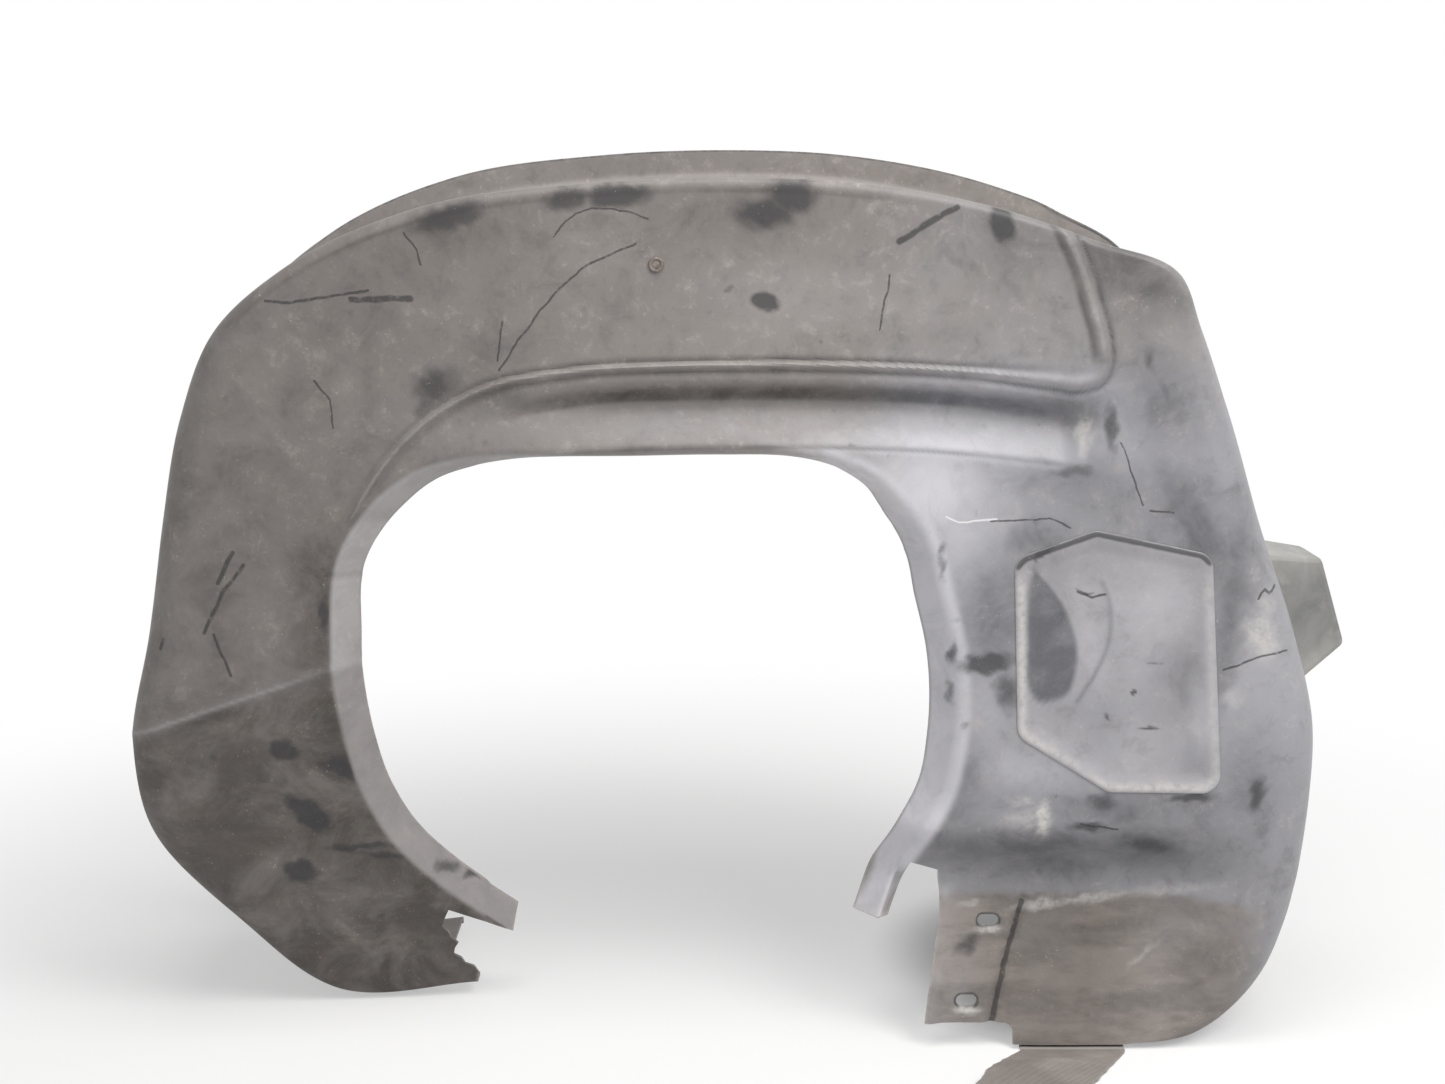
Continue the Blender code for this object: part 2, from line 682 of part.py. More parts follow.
def build_cover(plastic):
    """A shallow pan whose rim lies on the wall, with spring legs that go through the wall's opening."""
    mesh = bmesh.new()
    rim_front = -TOUCH_GAP - COVER_RIM_HEIGHT
    side = COVER_RIM_WIDTH + SLIDE_GAP
    floor_start = COVER_RIM_WIDTH + COVER_BEVEL_WIDTH
    floor_back = COVER_SINK + COVER_WALL
    loft(
        mesh,
        [
            (cover_outline(floor_start), COVER_SINK),
            (cover_outline(COVER_RIM_WIDTH - COVER_RIM_EDGE), rim_front),
            (cover_outline(COVER_RIM_EDGE), rim_front),
            (cover_outline(0.0), rim_front + COVER_RIM_EDGE),
            (cover_outline(0.0), -TOUCH_GAP),
            (cover_outline(side), -TOUCH_GAP),
            (cover_outline(side), floor_back),
        ],
    )
    corners = cover_corners()
    middle = sum(corners, Vector((0.0, 0.0))) / len(corners)
    cover = new_object("access_cover", mesh, plastic, Vector((middle.x, 0.0, middle.y)))
    inner = inset_corners(corners, side + 0.5 * COVER_LEG_THICKNESS)
    overlap = 0.5 * COVER_WALL
    for index, side_index in enumerate(COVER_LEG_SIDES, start=1):
        start = inner[side_index]
        end = inner[(side_index + 1) % len(inner)]
        along = (end - start).normalized()
        place = 0.5 * (start + end)
        frame = Matrix.Translation((place.x, floor_back - overlap + 0.5 * COVER_LEG_LENGTH, place.y))
        frame = frame @ Matrix.Rotation(-math.atan2(along.y, along.x), 4, "Y")
        leg = box_mesh(frame, (COVER_LEG_WIDTH, COVER_LEG_LENGTH, COVER_LEG_THICKNESS))
        cut(cover, new_object(f"cover_leg_{index}", leg, None, helper=True), "UNION")
    return cover


def build_plug(plastic):
    x, z = stretched(PLUG_PLACE)
    face = wall_depth(x, z)
    back = SHELL_WALL + 2.0 * TOUCH_GAP
    profile = [
        (0.5 * PLUG_HEAD_FLAT_DIAMETER, -TOUCH_GAP - PLUG_HEAD_HEIGHT),
        (0.5 * PLUG_HEAD_DIAMETER, -TOUCH_GAP - PLUG_HEAD_HEIGHT + PLUG_HEAD_EDGE),
        (0.5 * PLUG_HEAD_DIAMETER, -TOUCH_GAP),
        (0.5 * PLUG_SHANK_DIAMETER, -TOUCH_GAP),
        (0.5 * PLUG_SHANK_DIAMETER, back),
        (0.5 * PLUG_BARB_DIAMETER, back),
        (0.5 * PLUG_TIP_DIAMETER, back + PLUG_BARB_LENGTH),
    ]
    place = Vector((x, face, z))
    mesh = turned_solid(profile, place, Vector((0.0, 1.0, 0.0)))
    return new_object("hole_plug", mesh, plastic, place)


def retainer_seat():
    """Distance from the lip's front face to the underside of a retainer's head."""
    return SHELL_WALL + TOUCH_GAP


def build_retainer(index, place, plastic):
    """A body with a split, barbed shank through the lip, headed on the wheel side, and the pin that spreads it."""
    point = retainer_place(place)
    axis = Vector((0.0, 1.0, 0.0))
    seat = retainer_seat()
    head = 0.5 * RETAINER_HEAD_DIAMETER
    shank = 0.5 * RETAINER_SHANK_DIAMETER
    pin = 0.5 * RETAINER_PIN_DIAMETER
    bore = pin + SLIDE_GAP
    tip = seat - RETAINER_SHANK_LENGTH
    head_top = seat + RETAINER_HEAD_HEIGHT
    barb_start = -2.0 * TOUCH_GAP
    outer = [
        (bore + RETAINER_TIP_WALL, tip),
        (shank + RETAINER_BARB_RISE, 0.5 * (tip + barb_start)),
        (shank, barb_start),
        (shank, seat),
        (head, seat),
        (head, head_top - RETAINER_HEAD_EDGE),
        (0.5 * RETAINER_HEAD_FLAT_DIAMETER, head_top),
    ]
    tube = turned_tube(outer, [(bore, tip), (bore, head_top)], point, axis)
    body = new_object(f"lip_retainer_body_{index}", tube, plastic, point)
    slit_end = -RETAINER_SLIT_START
    slit_length = slit_end - tip + RETAINER_SHANK_DIAMETER
    for name, size in (
        ("across", (RETAINER_HEAD_DIAMETER, slit_length, RETAINER_SLIT_WIDTH)),
        ("upright", (RETAINER_SLIT_WIDTH, slit_length, RETAINER_HEAD_DIAMETER)),
    ):
        frame = Matrix.Translation(point + axis * (slit_end - 0.5 * slit_length))
        cut(body, new_object(f"slit_{name}_{index}", box_mesh(frame, size), None, helper=True))

    pin_head = 0.5 * RETAINER_PIN_HEAD_DIAMETER
    pin_seat = head_top + TOUCH_GAP
    pin_top = pin_seat + RETAINER_PIN_HEAD_HEIGHT
    pin_profile = [
        (0.5 * RETAINER_PIN_TIP_DIAMETER, tip + pin),
        (pin, tip + pin + RETAINER_PIN_TIP_LENGTH),
        (pin, pin_seat),
        (pin_head, pin_seat),
        (pin_head, pin_top - RETAINER_PIN_HEAD_EDGE),
        (0.5 * RETAINER_PIN_HEAD_FLAT_DIAMETER, pin_top),
    ]
    mesh = turned_solid(pin_profile, point, axis)
    new_object(f"lip_retainer_pin_{index}", mesh, plastic, point + axis * pin_seat)


def bracket_frame():
    """Middle of the bracket's base on the tread band, and the outward direction there."""
    middle = arch_station(0.5 * sum(BRACKET_STATIONS))
    out = Vector((middle.outward.x, 0.0, middle.outward.y))
    return middle.tread_point(0.5 * (BRACKET_FRONT + BRACKET_BACK)), out


def bracket_body(inset, base_out, reach):
    """A tapered block on the tread band, following its curve, with its sides moved in by inset."""
    mesh = bmesh.new()
    first, last = BRACKET_STATIONS
    steps = round((last - first) * ROWS_PER_STATION)
    base_middle, out = bracket_frame()
    along = Vector((out.z, 0.0, -out.x))
    front, back = BRACKET_FRONT + inset, BRACKET_BACK - inset
    ends = [arch_station(place).tread_point(0.0) for place in BRACKET_STATIONS]
    length = (ends[1] - ends[0]).length
    half = 0.5 * length - BRACKET_INSET_ALONG - inset
    base_rows, top_rows = [], []
    for step in range(steps + 1):
        share = step / steps
        base_share = inset / length + share * (1.0 - 2.0 * inset / length)
        station = arch_station(first + (last - first) * base_share)
        base_row, top_row = [], []
        for depth_share in (0.0, 0.5, 1.0):
            depth = front + (back - front) * depth_share
            base_row.append(mesh.verts.new(station.tread_point(depth, base_out)))
            top = base_middle + along * half * (2.0 * share - 1.0) + out * reach
            top.y = depth + BRACKET_INSET_ACROSS * (1.0 - 2.0 * depth_share)
            top_row.append(mesh.verts.new(top))
        base_rows.append(base_row)
        top_rows.append(top_row)
    for rows in (base_rows, top_rows):
        for row_a, row_b in zip(rows, rows[1:]):
            add_faces(mesh, row_a, row_b)
    for base_row, top_row in ((base_rows[0], top_rows[0]), (base_rows[-1], top_rows[-1])):
        add_faces(mesh, base_row, top_row)
    for side in (0, -1):
        add_faces(mesh, [row[side] for row in base_rows], [row[side] for row in top_rows])
    face_out(mesh)
    return mesh


def screw_places():
    """Each screw's name, its place on the tread band's outer face and the outward direction there."""
    first, last = BRACKET_STATIONS
    ends = [arch_station(place).fold for place in BRACKET_STATIONS]
    share = 0.5 * SCREW_SPREAD / (ends[1] - ends[0]).length
    places = []
    for name, side in (("upper", -1.0), ("lower", 1.0)):
        station = arch_station(first + (last - first) * (0.5 + side * share))
        out = Vector((station.outward.x, 0.0, station.outward.y))
        places.append((name, station.tread_point(0.5 * (BRACKET_FRONT + BRACKET_BACK)), out))
    return places


def build_bracket(shell, plastic, steel):
    """A hollow bracket, open to the tread band, with two screw bosses and their screws."""
    base_middle, _ = bracket_frame()
    bracket = new_object("side_bracket", bracket_body(0.0, TOUCH_GAP, BRACKET_REACH), plastic, base_middle)
    edge = bracket.modifiers.new("soft_edges", "BEVEL")
    edge.width = BRACKET_EDGE
    edge.segments = 2
    edge.limit_method = "ANGLE"
    edge.angle_limit = BEVEL_ANGLE
    hollow = bracket_body(BRACKET_WALL, -SHELL_WALL, BRACKET_REACH - BRACKET_WALL)
    cut(bracket, new_object("cutter_bracket_hollow", hollow, None, helper=True))

    boss = 0.5 * BRACKET_BOSS_DIAMETER
    shank = 0.5 * SCREW_SHANK_DIAMETER
    head = 0.5 * SCREW_HEAD_DIAMETER
    under_head = -SHELL_WALL - SLIDE_GAP
    for name, place, out in screw_places():
        profile = [(boss, BOSS_BASE_GAP), (boss, BRACKET_REACH - 0.5 * BRACKET_WALL)]
        pillar = new_object(f"boss_{name}", turned_solid(profile, place, out), None, helper=True)
        cut(bracket, pillar, "UNION")
        profile = [(shank + SLIDE_GAP, -2.0 * SHELL_WALL), (shank + SLIDE_GAP, SCREW_HOLE_LENGTH)]
        hole = new_object(f"cutter_screw_{name}", turned_solid(profile, place, out), None, helper=True)
        cut(bracket, hole)
        cut(shell, hole)
        profile = [
            (0.5 * SCREW_HEAD_FLAT_DIAMETER, under_head - SCREW_HEAD_HEIGHT),
            (head, under_head - SCREW_HEAD_EDGE),
            (head, under_head),
            (shank, under_head),
            (shank, SCREW_SHANK_LENGTH - SCREW_TIP_LENGTH),
            (0.5 * SCREW_TIP_DIAMETER, SCREW_SHANK_LENGTH),
        ]
        new_object(f"bracket_screw_{name}", turned_solid(profile, place, out), steel, place)


def flap_hinge():
    """Middle of the fold line that the flap turns about."""
    left = stretched((FLAP_LEFT, 0.0))[0]
    return Vector((left + 0.5 * (FLAP_RIGHT - FLAP_LEFT), -FLAP_FRONT_GAP, STRIP_FOOT_LIFT + 0.5 * FLAP_THICKNESS))


def build_flap(rubber):
    """A thin sheet that lies forward on the floor, with a slanting fold across it."""
    hinge = flap_hinge()
    width = FLAP_RIGHT - FLAP_LEFT
    mesh = bmesh.new()
    grid = []
    for row in range(FLAP_ROWS + 1):
        line = []
        for column in range(FLAP_COLUMNS + 1):
            share = column / FLAP_COLUMNS
            length = FLAP_LENGTH - FLAP_END_ROUNDING * (2.0 * share - 1.0) ** 4
            reach = FLAP_HINGE_GAP + length * row / FLAP_ROWS
            ridge = FLAP_RIDGE_REACH * (1.0 - share)
            rise = FLAP_RIDGE_HEIGHT * (1.0 - share)
            if reach < ridge:
                height = rise * reach / ridge
            else:
                height = rise * max(1.0 - (reach - ridge) / (FLAP_LENGTH - ridge), 0.0)
            x = hinge.x + width * (share - 0.5) - FLAP_SLANT * reach
            line.append(mesh.verts.new((x, hinge.y - reach, STRIP_FOOT_LIFT + height)))
        grid.append(line)
    for first, second in zip(grid, grid[1:]):
        add_faces(mesh, first, second)
    for face in mesh.faces:
        face.normal_update()
        if face.normal.z > 0.0:
            face.normal_flip()
    flap = new_object("lower_flap", mesh, rubber, hinge)
    skin = flap.modifiers.new("sheet_thickness", "SOLIDIFY")
    skin.thickness = FLAP_THICKNESS
    skin.offset = -1.0
    return flap


def build_strip(rubber):
    """The strip behind the panel's lower edge, with a foot that comes forward under it to the fold line."""
    hinge = flap_hinge()
    width = FLAP_RIGHT - FLAP_LEFT
    mesh = bmesh.new()
    grid = []
    behind = LEANING_WALL * SHELL_WALL + TOUCH_GAP
    top = STRIP_FOOT_LIFT + FLAP_THICKNESS
    for column in range(STRIP_COLUMNS + 1):
        x = hinge.x + width * (column / STRIP_COLUMNS - 0.5)
        front, back = [], []
        for row in range(STRIP_ROWS + 1):
            z = top + (STRIP_HEIGHT - top) * row / STRIP_ROWS
            y = wall_depth(x, z) + behind
            front.append(Vector((x, y, z)))
            back.append(Vector((x, y + STRIP_THICKNESS, z)))
        heel = Vector((x, back[0].y, STRIP_FOOT_LIFT))
        toe = [Vector((x, hinge.y + FLAP_HINGE_GAP, z)) for z in (STRIP_FOOT_LIFT, top)]
        grid.append([mesh.verts.new(point) for point in front + back[::-1] + [heel] + toe])
    for first, second in zip(grid, grid[1:]):
        add_faces(mesh, first + first[:1], second + second[:1])
    mesh.faces.new(grid[0])
    mesh.faces.new(grid[-1])
    face_out(mesh)
    return new_object("flap_fixing_strip", mesh, rubber)


def centre_on_base():
    """Puts every object under one empty, which brings the middle of the base to the origin."""
    frame = bpy.data.objects.new("liner_frame", None)
    bpy.context.scene.collection.objects.link(frame)
    pieces = [piece for piece in bpy.data.objects if piece.type == "MESH"]
    for piece in pieces:
        piece.parent = frame
    bpy.context.view_layer.update()
    graph = bpy.context.evaluated_depsgraph_get()
    corners = []
    for piece in pieces:
        if not piece.hide_render:
            shown = piece.evaluated_get(graph)
            corners += [shown.matrix_world @ vertex.co for vertex in shown.data.vertices]
    low = [min(corner[axis] for corner in corners) for axis in range(3)]
    high = [max(corner[axis] for corner in corners) for axis in range(3)]
    frame.location = (-0.5 * (low[0] + high[0]), -0.5 * (low[1] + high[1]), -low[2])


def main():
    clear_scene()
    shell_plastic = material("shell_plastic", (0.20, 0.19, 0.185), 0.62)
    cover_plastic = material("cover_plastic", (0.24, 0.24, 0.25), 0.58)
    bracket_plastic = material("bracket_plastic", (0.13, 0.14, 0.13), 0.60)
    fastener_plastic = material("fastener_plastic", (0.03, 0.03, 0.03), 0.45)
    flap_rubber = material("flap_rubber", (0.36, 0.34, 0.32), 0.75)
    screw_steel = material("screw_steel", (0.45, 0.43, 0.40), 0.40)

    shell = build_shell(shell_plastic)
    cut_shell_holes(shell)
    build_bracket(shell, bracket_plastic, screw_steel)
    build_cover(cover_plastic)
    build_plug(fastener_plastic)
    for index, place in enumerate(RETAINER_STATIONS, start=1):
        build_retainer(index, place, fastener_plastic)
    build_strip(flap_rubber)
    build_flap(flap_rubber)
    centre_on_base()


main()
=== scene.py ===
"""Visual model of a used wheel-arch liner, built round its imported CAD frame.

Metres, +Z up. Shapes are drawn in the part's own drawing frame, and the hinge of the lower flap, which is
in both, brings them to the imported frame.
"""

import json
import math

import bmesh
import bpy
import numpy as np
from mathutils import Matrix, Vector


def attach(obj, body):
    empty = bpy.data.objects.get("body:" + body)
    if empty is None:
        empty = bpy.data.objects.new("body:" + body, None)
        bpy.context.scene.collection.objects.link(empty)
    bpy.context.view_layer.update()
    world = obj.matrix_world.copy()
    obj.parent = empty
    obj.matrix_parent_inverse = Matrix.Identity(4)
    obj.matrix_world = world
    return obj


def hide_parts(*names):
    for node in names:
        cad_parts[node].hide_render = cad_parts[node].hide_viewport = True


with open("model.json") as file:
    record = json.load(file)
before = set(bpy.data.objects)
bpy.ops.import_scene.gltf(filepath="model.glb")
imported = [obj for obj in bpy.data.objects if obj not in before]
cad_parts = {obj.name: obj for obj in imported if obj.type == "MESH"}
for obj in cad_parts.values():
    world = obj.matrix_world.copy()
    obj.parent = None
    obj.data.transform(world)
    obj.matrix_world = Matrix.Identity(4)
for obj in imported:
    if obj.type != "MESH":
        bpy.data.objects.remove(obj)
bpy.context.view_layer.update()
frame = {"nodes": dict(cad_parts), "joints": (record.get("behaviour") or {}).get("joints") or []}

# Sizes repeated from the part's source
TREAD_DEPTH = 0.240
SHELL_WALL = 0.003
TOUCH_GAP = 0.0003
SLIDE_GAP = 0.0005
PUSH_GAP = 0.0004

# Arch stations: the wall's edge at the opening (x, z), the fold line (x, z), the fold's radius, how far the
# flange turns in and how far it goes back
ARCH_STATIONS = [
    ((-0.177, 0.072), (-0.186, 0.010), 0.005, 0.017, 0.022),
    ((-0.206, 0.098), (-0.290, 0.009), 0.007, 0.017, 0.022),
    ((-0.240, 0.141), (-0.357, 0.074), 0.014, 0.017, 0.022),
    ((-0.257, 0.183), (-0.412, 0.158), 0.022, 0.017, 0.022),
    ((-0.265, 0.226), (-0.415, 0.222), 0.026, 0.017, 0.022),
    ((-0.268, 0.300), (-0.399, 0.302), 0.028, 0.017, 0.022),
    ((-0.262, 0.355), (-0.386, 0.380), 0.028, 0.016, 0.020),
    ((-0.236, 0.395), (-0.370, 0.452), 0.026, 0.016, 0.018),
    ((-0.207, 0.416), (-0.345, 0.508), 0.020, 0.013, 0.016),
    ((-0.172, 0.425), (-0.294, 0.552), 0.012, 0.008, 0.014),
    ((-0.125, 0.427), (-0.203, 0.592), 0.007, 0.003, 0.014),
    ((-0.060, 0.428), (-0.094, 0.608), 0.006, 0.003, 0.014),
    ((0.000, 0.429), (0.000, 0.612), 0.006, 0.003, 0.014),
    ((0.045, 0.428), (0.094, 0.608), 0.006, 0.003, 0.014),
    ((0.080, 0.422), (0.175, 0.594), 0.006, 0.005, 0.014),
    ((0.105, 0.410), (0.250, 0.570), 0.005, 0.009, 0.016),
    ((0.119, 0.397), (0.3060, 0.5480), 0.006, 0.013, 0.018),
    ((0.130, 0.384), (0.3225, 0.512), 0.013, 0.015, 0.020),
    ((0.141, 0.366), (0.342, 0.464), 0.022, 0.017, 0.022),
    ((0.151, 0.330), (0.371, 0.376), 0.024, 0.018, 0.022),
    ((0.161, 0.290), (0.398, 0.302), 0.026, 0.019, 0.022),
    ((0.163, 0.230), (0.415, 0.236), 0.028, 0.019, 0.022),
    ((0.156, 0.192), (0.416, 0.180), 0.030, 0.018, 0.022),
    ((0.141, 0.161), (0.414, 0.150), 0.032, 0.018, 0.022),
    ((0.128, 0.132), (0.412, 0.128), 0.034, 0.018, 0.022),
]
PANEL_STATIONS = [
    ((0.154, 0.125), (0.411, 0.121), 0.034, 0.0, 0.0),
    ((0.155, 0.100), (0.405, 0.092), 0.034, 0.0, 0.0),
    ((0.1505, 0.065), (0.388, 0.050), 0.032, 0.0, 0.0),
    ((0.1445, 0.025), (0.347, 0.010), 0.026, 0.0, 0.0),
    ((0.1420, 0.004), (0.293, 0.004), 0.010, 0.0, 0.0),
]
FLANGE_TAIL_LEFT = 0.026
FLANGE_TAIL_RIGHT = 0.040
TAIL_DIRECTION_STEP = 1.0 / 3.0
DIRECTION_STEP = 0.02

# Mesh fineness
ALONG_STEP = 0.0024
WALL_COLUMNS = 112
FOLD_COLUMNS = 10
TREAD_COLUMNS = 26
FILLET_COLUMNS = 5
LIP_COLUMNS = 6
TURN_COLUMNS = 6
FLANGE_COLUMNS = 8
TAIL_ROWS = 12
JOIN_ROWS = 8

# Radius of the turn from the wall into the flange
FLANGE_TURN = 0.006

LIP_WIDTH = 0.022
LIP_FILLET = 0.006
LIP_LOW_SHARE = 0.15
LIP_FADE_LOW = 0.030
LIP_FADE_HIGH = 0.120
LIP_CORNER_DIP = 0.55
LIP_CORNER_X = (0.230, 0.320)
LIP_CORNER_Z = (0.485, 0.535)

# Left leg, which leans back below a crease
LEG_CREASE_X = -0.404
LEG_CREASE_Z = 0.232
LEG_CREASE_SLOPE = 0.343
LEG_LEAN = 0.34
LEG_BLEND = 0.007
LEG_FADE_START = -0.150
LEG_FADE_END = -0.050
LEG_BEAD_RISE = 0.0011
LEG_BEAD_WIDTH = 0.0035

# Lower right panel
RIDGE_Z = 0.168
VALLEY_Z = 0.118
VALLEY_DEPTH = 0.030
VALLEY_BLEND = 0.006
PANEL_FADE_START = 0.300
PANEL_FADE_END = 0.385
PANEL_LEFT_START = 0.100
PANEL_LEFT_END = 0.128
RIDGE_BULGE_PLACE = (0.216, 0.176)
RIDGE_BULGE_SPREAD = (0.026, 0.015)
RIDGE_BULGE_RISE = 0.0045
TAB_GROOVE = [(0.215, 0.104), (0.209, 0.085), (0.202, 0.060), (0.191, 0.016)]
TAB_GROOVE_WIDTH = 0.0034
TAB_GROOVE_DEPTH = 0.0034
TAB_BEAD_IN = 0.0035
TAB_BEAD_WIDTH = 0.0065
TAB_BEAD_RISE = 0.0030
TAB_BEAD_TOP = 0.118
TAB_BEAD_FADE = 0.012

# Raised band along the top, with a bead on its edge, and the trough under it
BAND_EDGE_POINTS = [
    (-0.262, 0.350),
    (-0.240, 0.400),
    (-0.202, 0.445),
    (-0.163, 0.469),
    (-0.098, 0.482),
    (-0.013, 0.486),
    (0.073, 0.486),
    (0.172, 0.481),
    (0.218, 0.4755),
    (0.243, 0.4735),
    (0.2545, 0.478),
    (0.2585, 0.488),
    (0.2575, 0.503),
    (0.2500, 0.529),
    (0.2405, 0.557),
    (0.2290, 0.580),
    (0.2200, 0.606),
]
# Points of the crest's curve over the trough, and the band edge's way in through the opening
CREST_COUNT = 73
BAND_RUN_IN = [(-0.060, 0.020), (-0.200, 0.200), (-0.250, 0.320)]
BAND_RISE = 0.003
BAND_EDGE = 0.004
EDGE_BEAD_RISE = 0.0014
EDGE_BEAD_WIDTH_LEFT = 0.0019
EDGE_BEAD_WIDTH_RIGHT = 0.0034
EDGE_BEAD_WIDEN_START = 0.150
EDGE_BEAD_WIDEN_END = 0.250
EDGE_GROOVE_DEPTH = 0.0013
EDGE_GROOVE_WIDTH = 0.0017
INNER_GROOVE_LOW = 0.484
INNER_GROOVE_HIGH = 0.498
INNER_GROOVE_WIDER = 0.0008
SIDE_BEAD_POINTS = [(0.2235, 0.578), (0.2325, 0.556), (0.2435, 0.527), (0.2530, 0.497)]
SIDE_BEAD_RISE = 0.0010
SIDE_BEAD_WIDTH = 0.0048
TROUGH_DEPTH = 0.015
TROUGH_ROLL = 0.006
TROUGH_DROP = 0.024
TROUGH_HEIGHT = 0.054
TROUGH_GROOVE_WIDTH = 0.0014
TROUGH_LEFT_START = -0.180
TROUGH_LEFT_END = -0.060
TROUGH_RIGHT_START = 0.229
TROUGH_RIGHT_END = 0.252

# Slow waviness of the moulded sheet: size, and the wave numbers of its two sines
WAVE_SIZE = 0.0006
WAVE_NUMBERS = ((41.0, 33.0, 0.7), (67.0, -52.0, 2.1), (23.0, 71.0, 4.4))
WAVE_CLEAR_OF_COVER = 0.012
WAVE_FADE = 0.030

# Access cover
COVER_CORNERS = [
    (0.199, 0.356),
    (0.254, 0.376),
    (0.334, 0.359),
    (0.347, 0.190),
    (0.268, 0.191),
    (0.204, 0.231),
]
COVER_CORNER_RADIUS = 0.013
COVER_LEAST_RADIUS = 0.002
COVER_RIM_WIDTH = 0.006
COVER_SINK = 0.0022
COVER_WALL = 0.0025
COVER_LEG_LENGTH = 0.014
COVER_LEG_WIDTH = 0.014
COVER_LEG_THICKNESS = 0.002
COVER_LEG_SIDES = [0, 2, 3, 5]
# A leg's outline, in shares of its half width and its length
COVER_LEG_OUTLINE = [(-1.0, 0.0), (1.0, 0.0), (1.0, 0.6), (0.7, 1.0), (-0.7, 1.0), (-1.0, 0.6)]
COVER_BACK_SHARES = (1.0, 0.66, 0.33, 0.05)
COVER_RIM_PROFILE = [
    (0.0000, -0.0003),
    (0.0001, -0.0006),
    (0.0005, -0.0010),
    (0.0014, -0.0013),
    (0.0028, -0.0014),
    (0.0044, -0.0013),
    (0.0062, -0.0010),
    (0.0080, -0.0005),
    (0.0098, 0.0001),
    (0.0118, 0.0007),
    (0.0140, 0.0012),
]
COVER_FLOOR_POWER = 7.0
COVER_SIDE_STEPS = 26
COVER_CORNER_STEPS = 10
COVER_FLOOR_RINGS = 40
COVER_LENS = [
    (0.2115, 0.3530),
    (0.2075, 0.330),
    (0.2078, 0.298),
    (0.2100, 0.264),
    (0.2180, 0.2545),
    (0.2360, 0.2565),
    (0.2455, 0.2840),
    (0.2375, 0.3180),
]
COVER_LENS_DEPTH = 0.0010
COVER_LENS_EDGE = 0.0045
COVER_RIB = [(0.2600, 0.340), (0.2640, 0.330), (0.2660, 0.302), (0.2580, 0.278), (0.2450, 0.256)]
COVER_RIB_RISE = 0.0006
COVER_RIB_WIDTH = 0.0022
COVER_CROWN = 0.0007

TAB_SLOTS = [(0.190, 0.089), (0.174, 0.034)]
TAB_SLOT_LENGTH = 0.015
TAB_SLOT_WIDTH = 0.0085
# Width of the painted shade round the tab's slots
SLOT_SHADE_WIDTH = 0.0017
TAB_FOOT_LEFT = 0.100
TAB_FOOT_RIGHT = 0.207
TAB_FOOT_HEIGHT = 0.019
TAB_FOOT_CORNER = 0.007
TAB_FOOT_STEPS = 6

TEAR_CORNERS = [
    (-0.2030, 0.0780),
    (-0.2062, 0.0712),
    (-0.2090, 0.0630),
    (-0.2048, 0.0588),
    (-0.2030, 0.0532),
    (-0.1980, 0.0480),
    (-0.2008, 0.0438),
    (-0.2020, 0.0380),
    (-0.1966, 0.0344),
    (-0.1942, 0.0292),
    (-0.1878, 0.0262),
    (-0.1852, 0.0212),
    (-0.1810, 0.0190),
    (-0.1200, 0.0190),
    (-0.1500, 0.0520),
    (-0.1760, 0.0660),
]
TREAD_TEAR_LEFT = -0.215
TREAD_TEAR_RIGHT = -0.120
TREAD_TEAR_HEIGHT = 0.060
TREAD_TEAR_START = 0.014
CUTTER_REACH = 0.020
TEAR_REACH = 0.030

# Fasteners
PLUG_PLACE = (-0.044, 0.555)
PLUG_SHANK = 0.0032
PLUG_PROFILE = [
    (0.0010, -0.0012),
    (0.0022, -0.0012),
    (0.0026, -0.0009),
    (0.0031, -0.0009),
    (0.0036, -0.0017),
    (0.0043, -0.0018),
    (0.0050, -0.0012),
    (0.0052, -0.0003),
    (0.0032, -0.0003),
    (0.0032, 0.0036),
    (0.0041, 0.0036),
    (0.0034, 0.0060),
    (0.0019, 0.0086),
]
RETAINER_STATIONS = [3.0, 5.0, 7.0, 18.0, 20.0, 22.0]
RETAINER_OFFSET = 0.0130
RETAINER_SHANK = 0.0039
RETAINER_BODY_OUTER = [
    (0.0030, -0.0127),
    (0.0038, -0.0105),
    (0.0047, -0.0067),
    (0.0045, -0.0040),
    (0.0039, -0.0006),
    (0.0039, 0.0033),
    (0.0077, 0.0033),
    (0.0080, 0.0036),
    (0.0080, 0.0043),
    (0.0076, 0.0050),
    (0.0066, 0.0055),
    (0.0057, 0.0055),
]
RETAINER_BODY_INNER = [(0.0026, -0.0127), (0.0026, 0.0050), (0.0054, 0.0052)]
RETAINER_SLIT_WIDTH = 0.0012
RETAINER_SLIT_END = -0.0045
RETAINER_SLIT_LENGTH = 0.016
RETAINER_HEAD_DIAMETER = 0.016
PIN_PROFILE = [
    (0.0010, -0.0106),
    (0.0017, -0.0096),
    (0.0021, -0.0085),
    (0.0021, 0.0058),
    (0.0049, 0.0058),
    (0.0052, 0.0061),
    (0.0052, 0.0068),
    (0.0048, 0.0074),
    (0.0038, 0.0077),
    (0.0012, 0.0078),
]
PIN_TOP = 0.0078
BRACKET_STATIONS = (19.3333, 20.6667)
BRACKET_FRONT = 0.045
BRACKET_BACK = 0.125
SCREW_SPREAD = 0.030
SCREW_SHANK = 0.0021
SCREW_PROFILE = [
    (0.0010, -0.0062),
    (0.0024, -0.0061),
    (0.0034, -0.0056),
    (0.0039, -0.0046),
    (0.0040, -0.0043),
    (0.0050, -0.0042),
    (0.0051, -0.0038),
    (0.0049, -0.0035),
    (0.0021, -0.0035),
    (0.0021, 0.0098),
    (0.0004, 0.0140),
]
SCREW_TOP = -0.0062
RECESS_LENGTH = 0.0046
RECESS_WIDTH = 0.0011
RECESS_DEPTH = 0.0014
RECESS_OVERCUT = 1.4

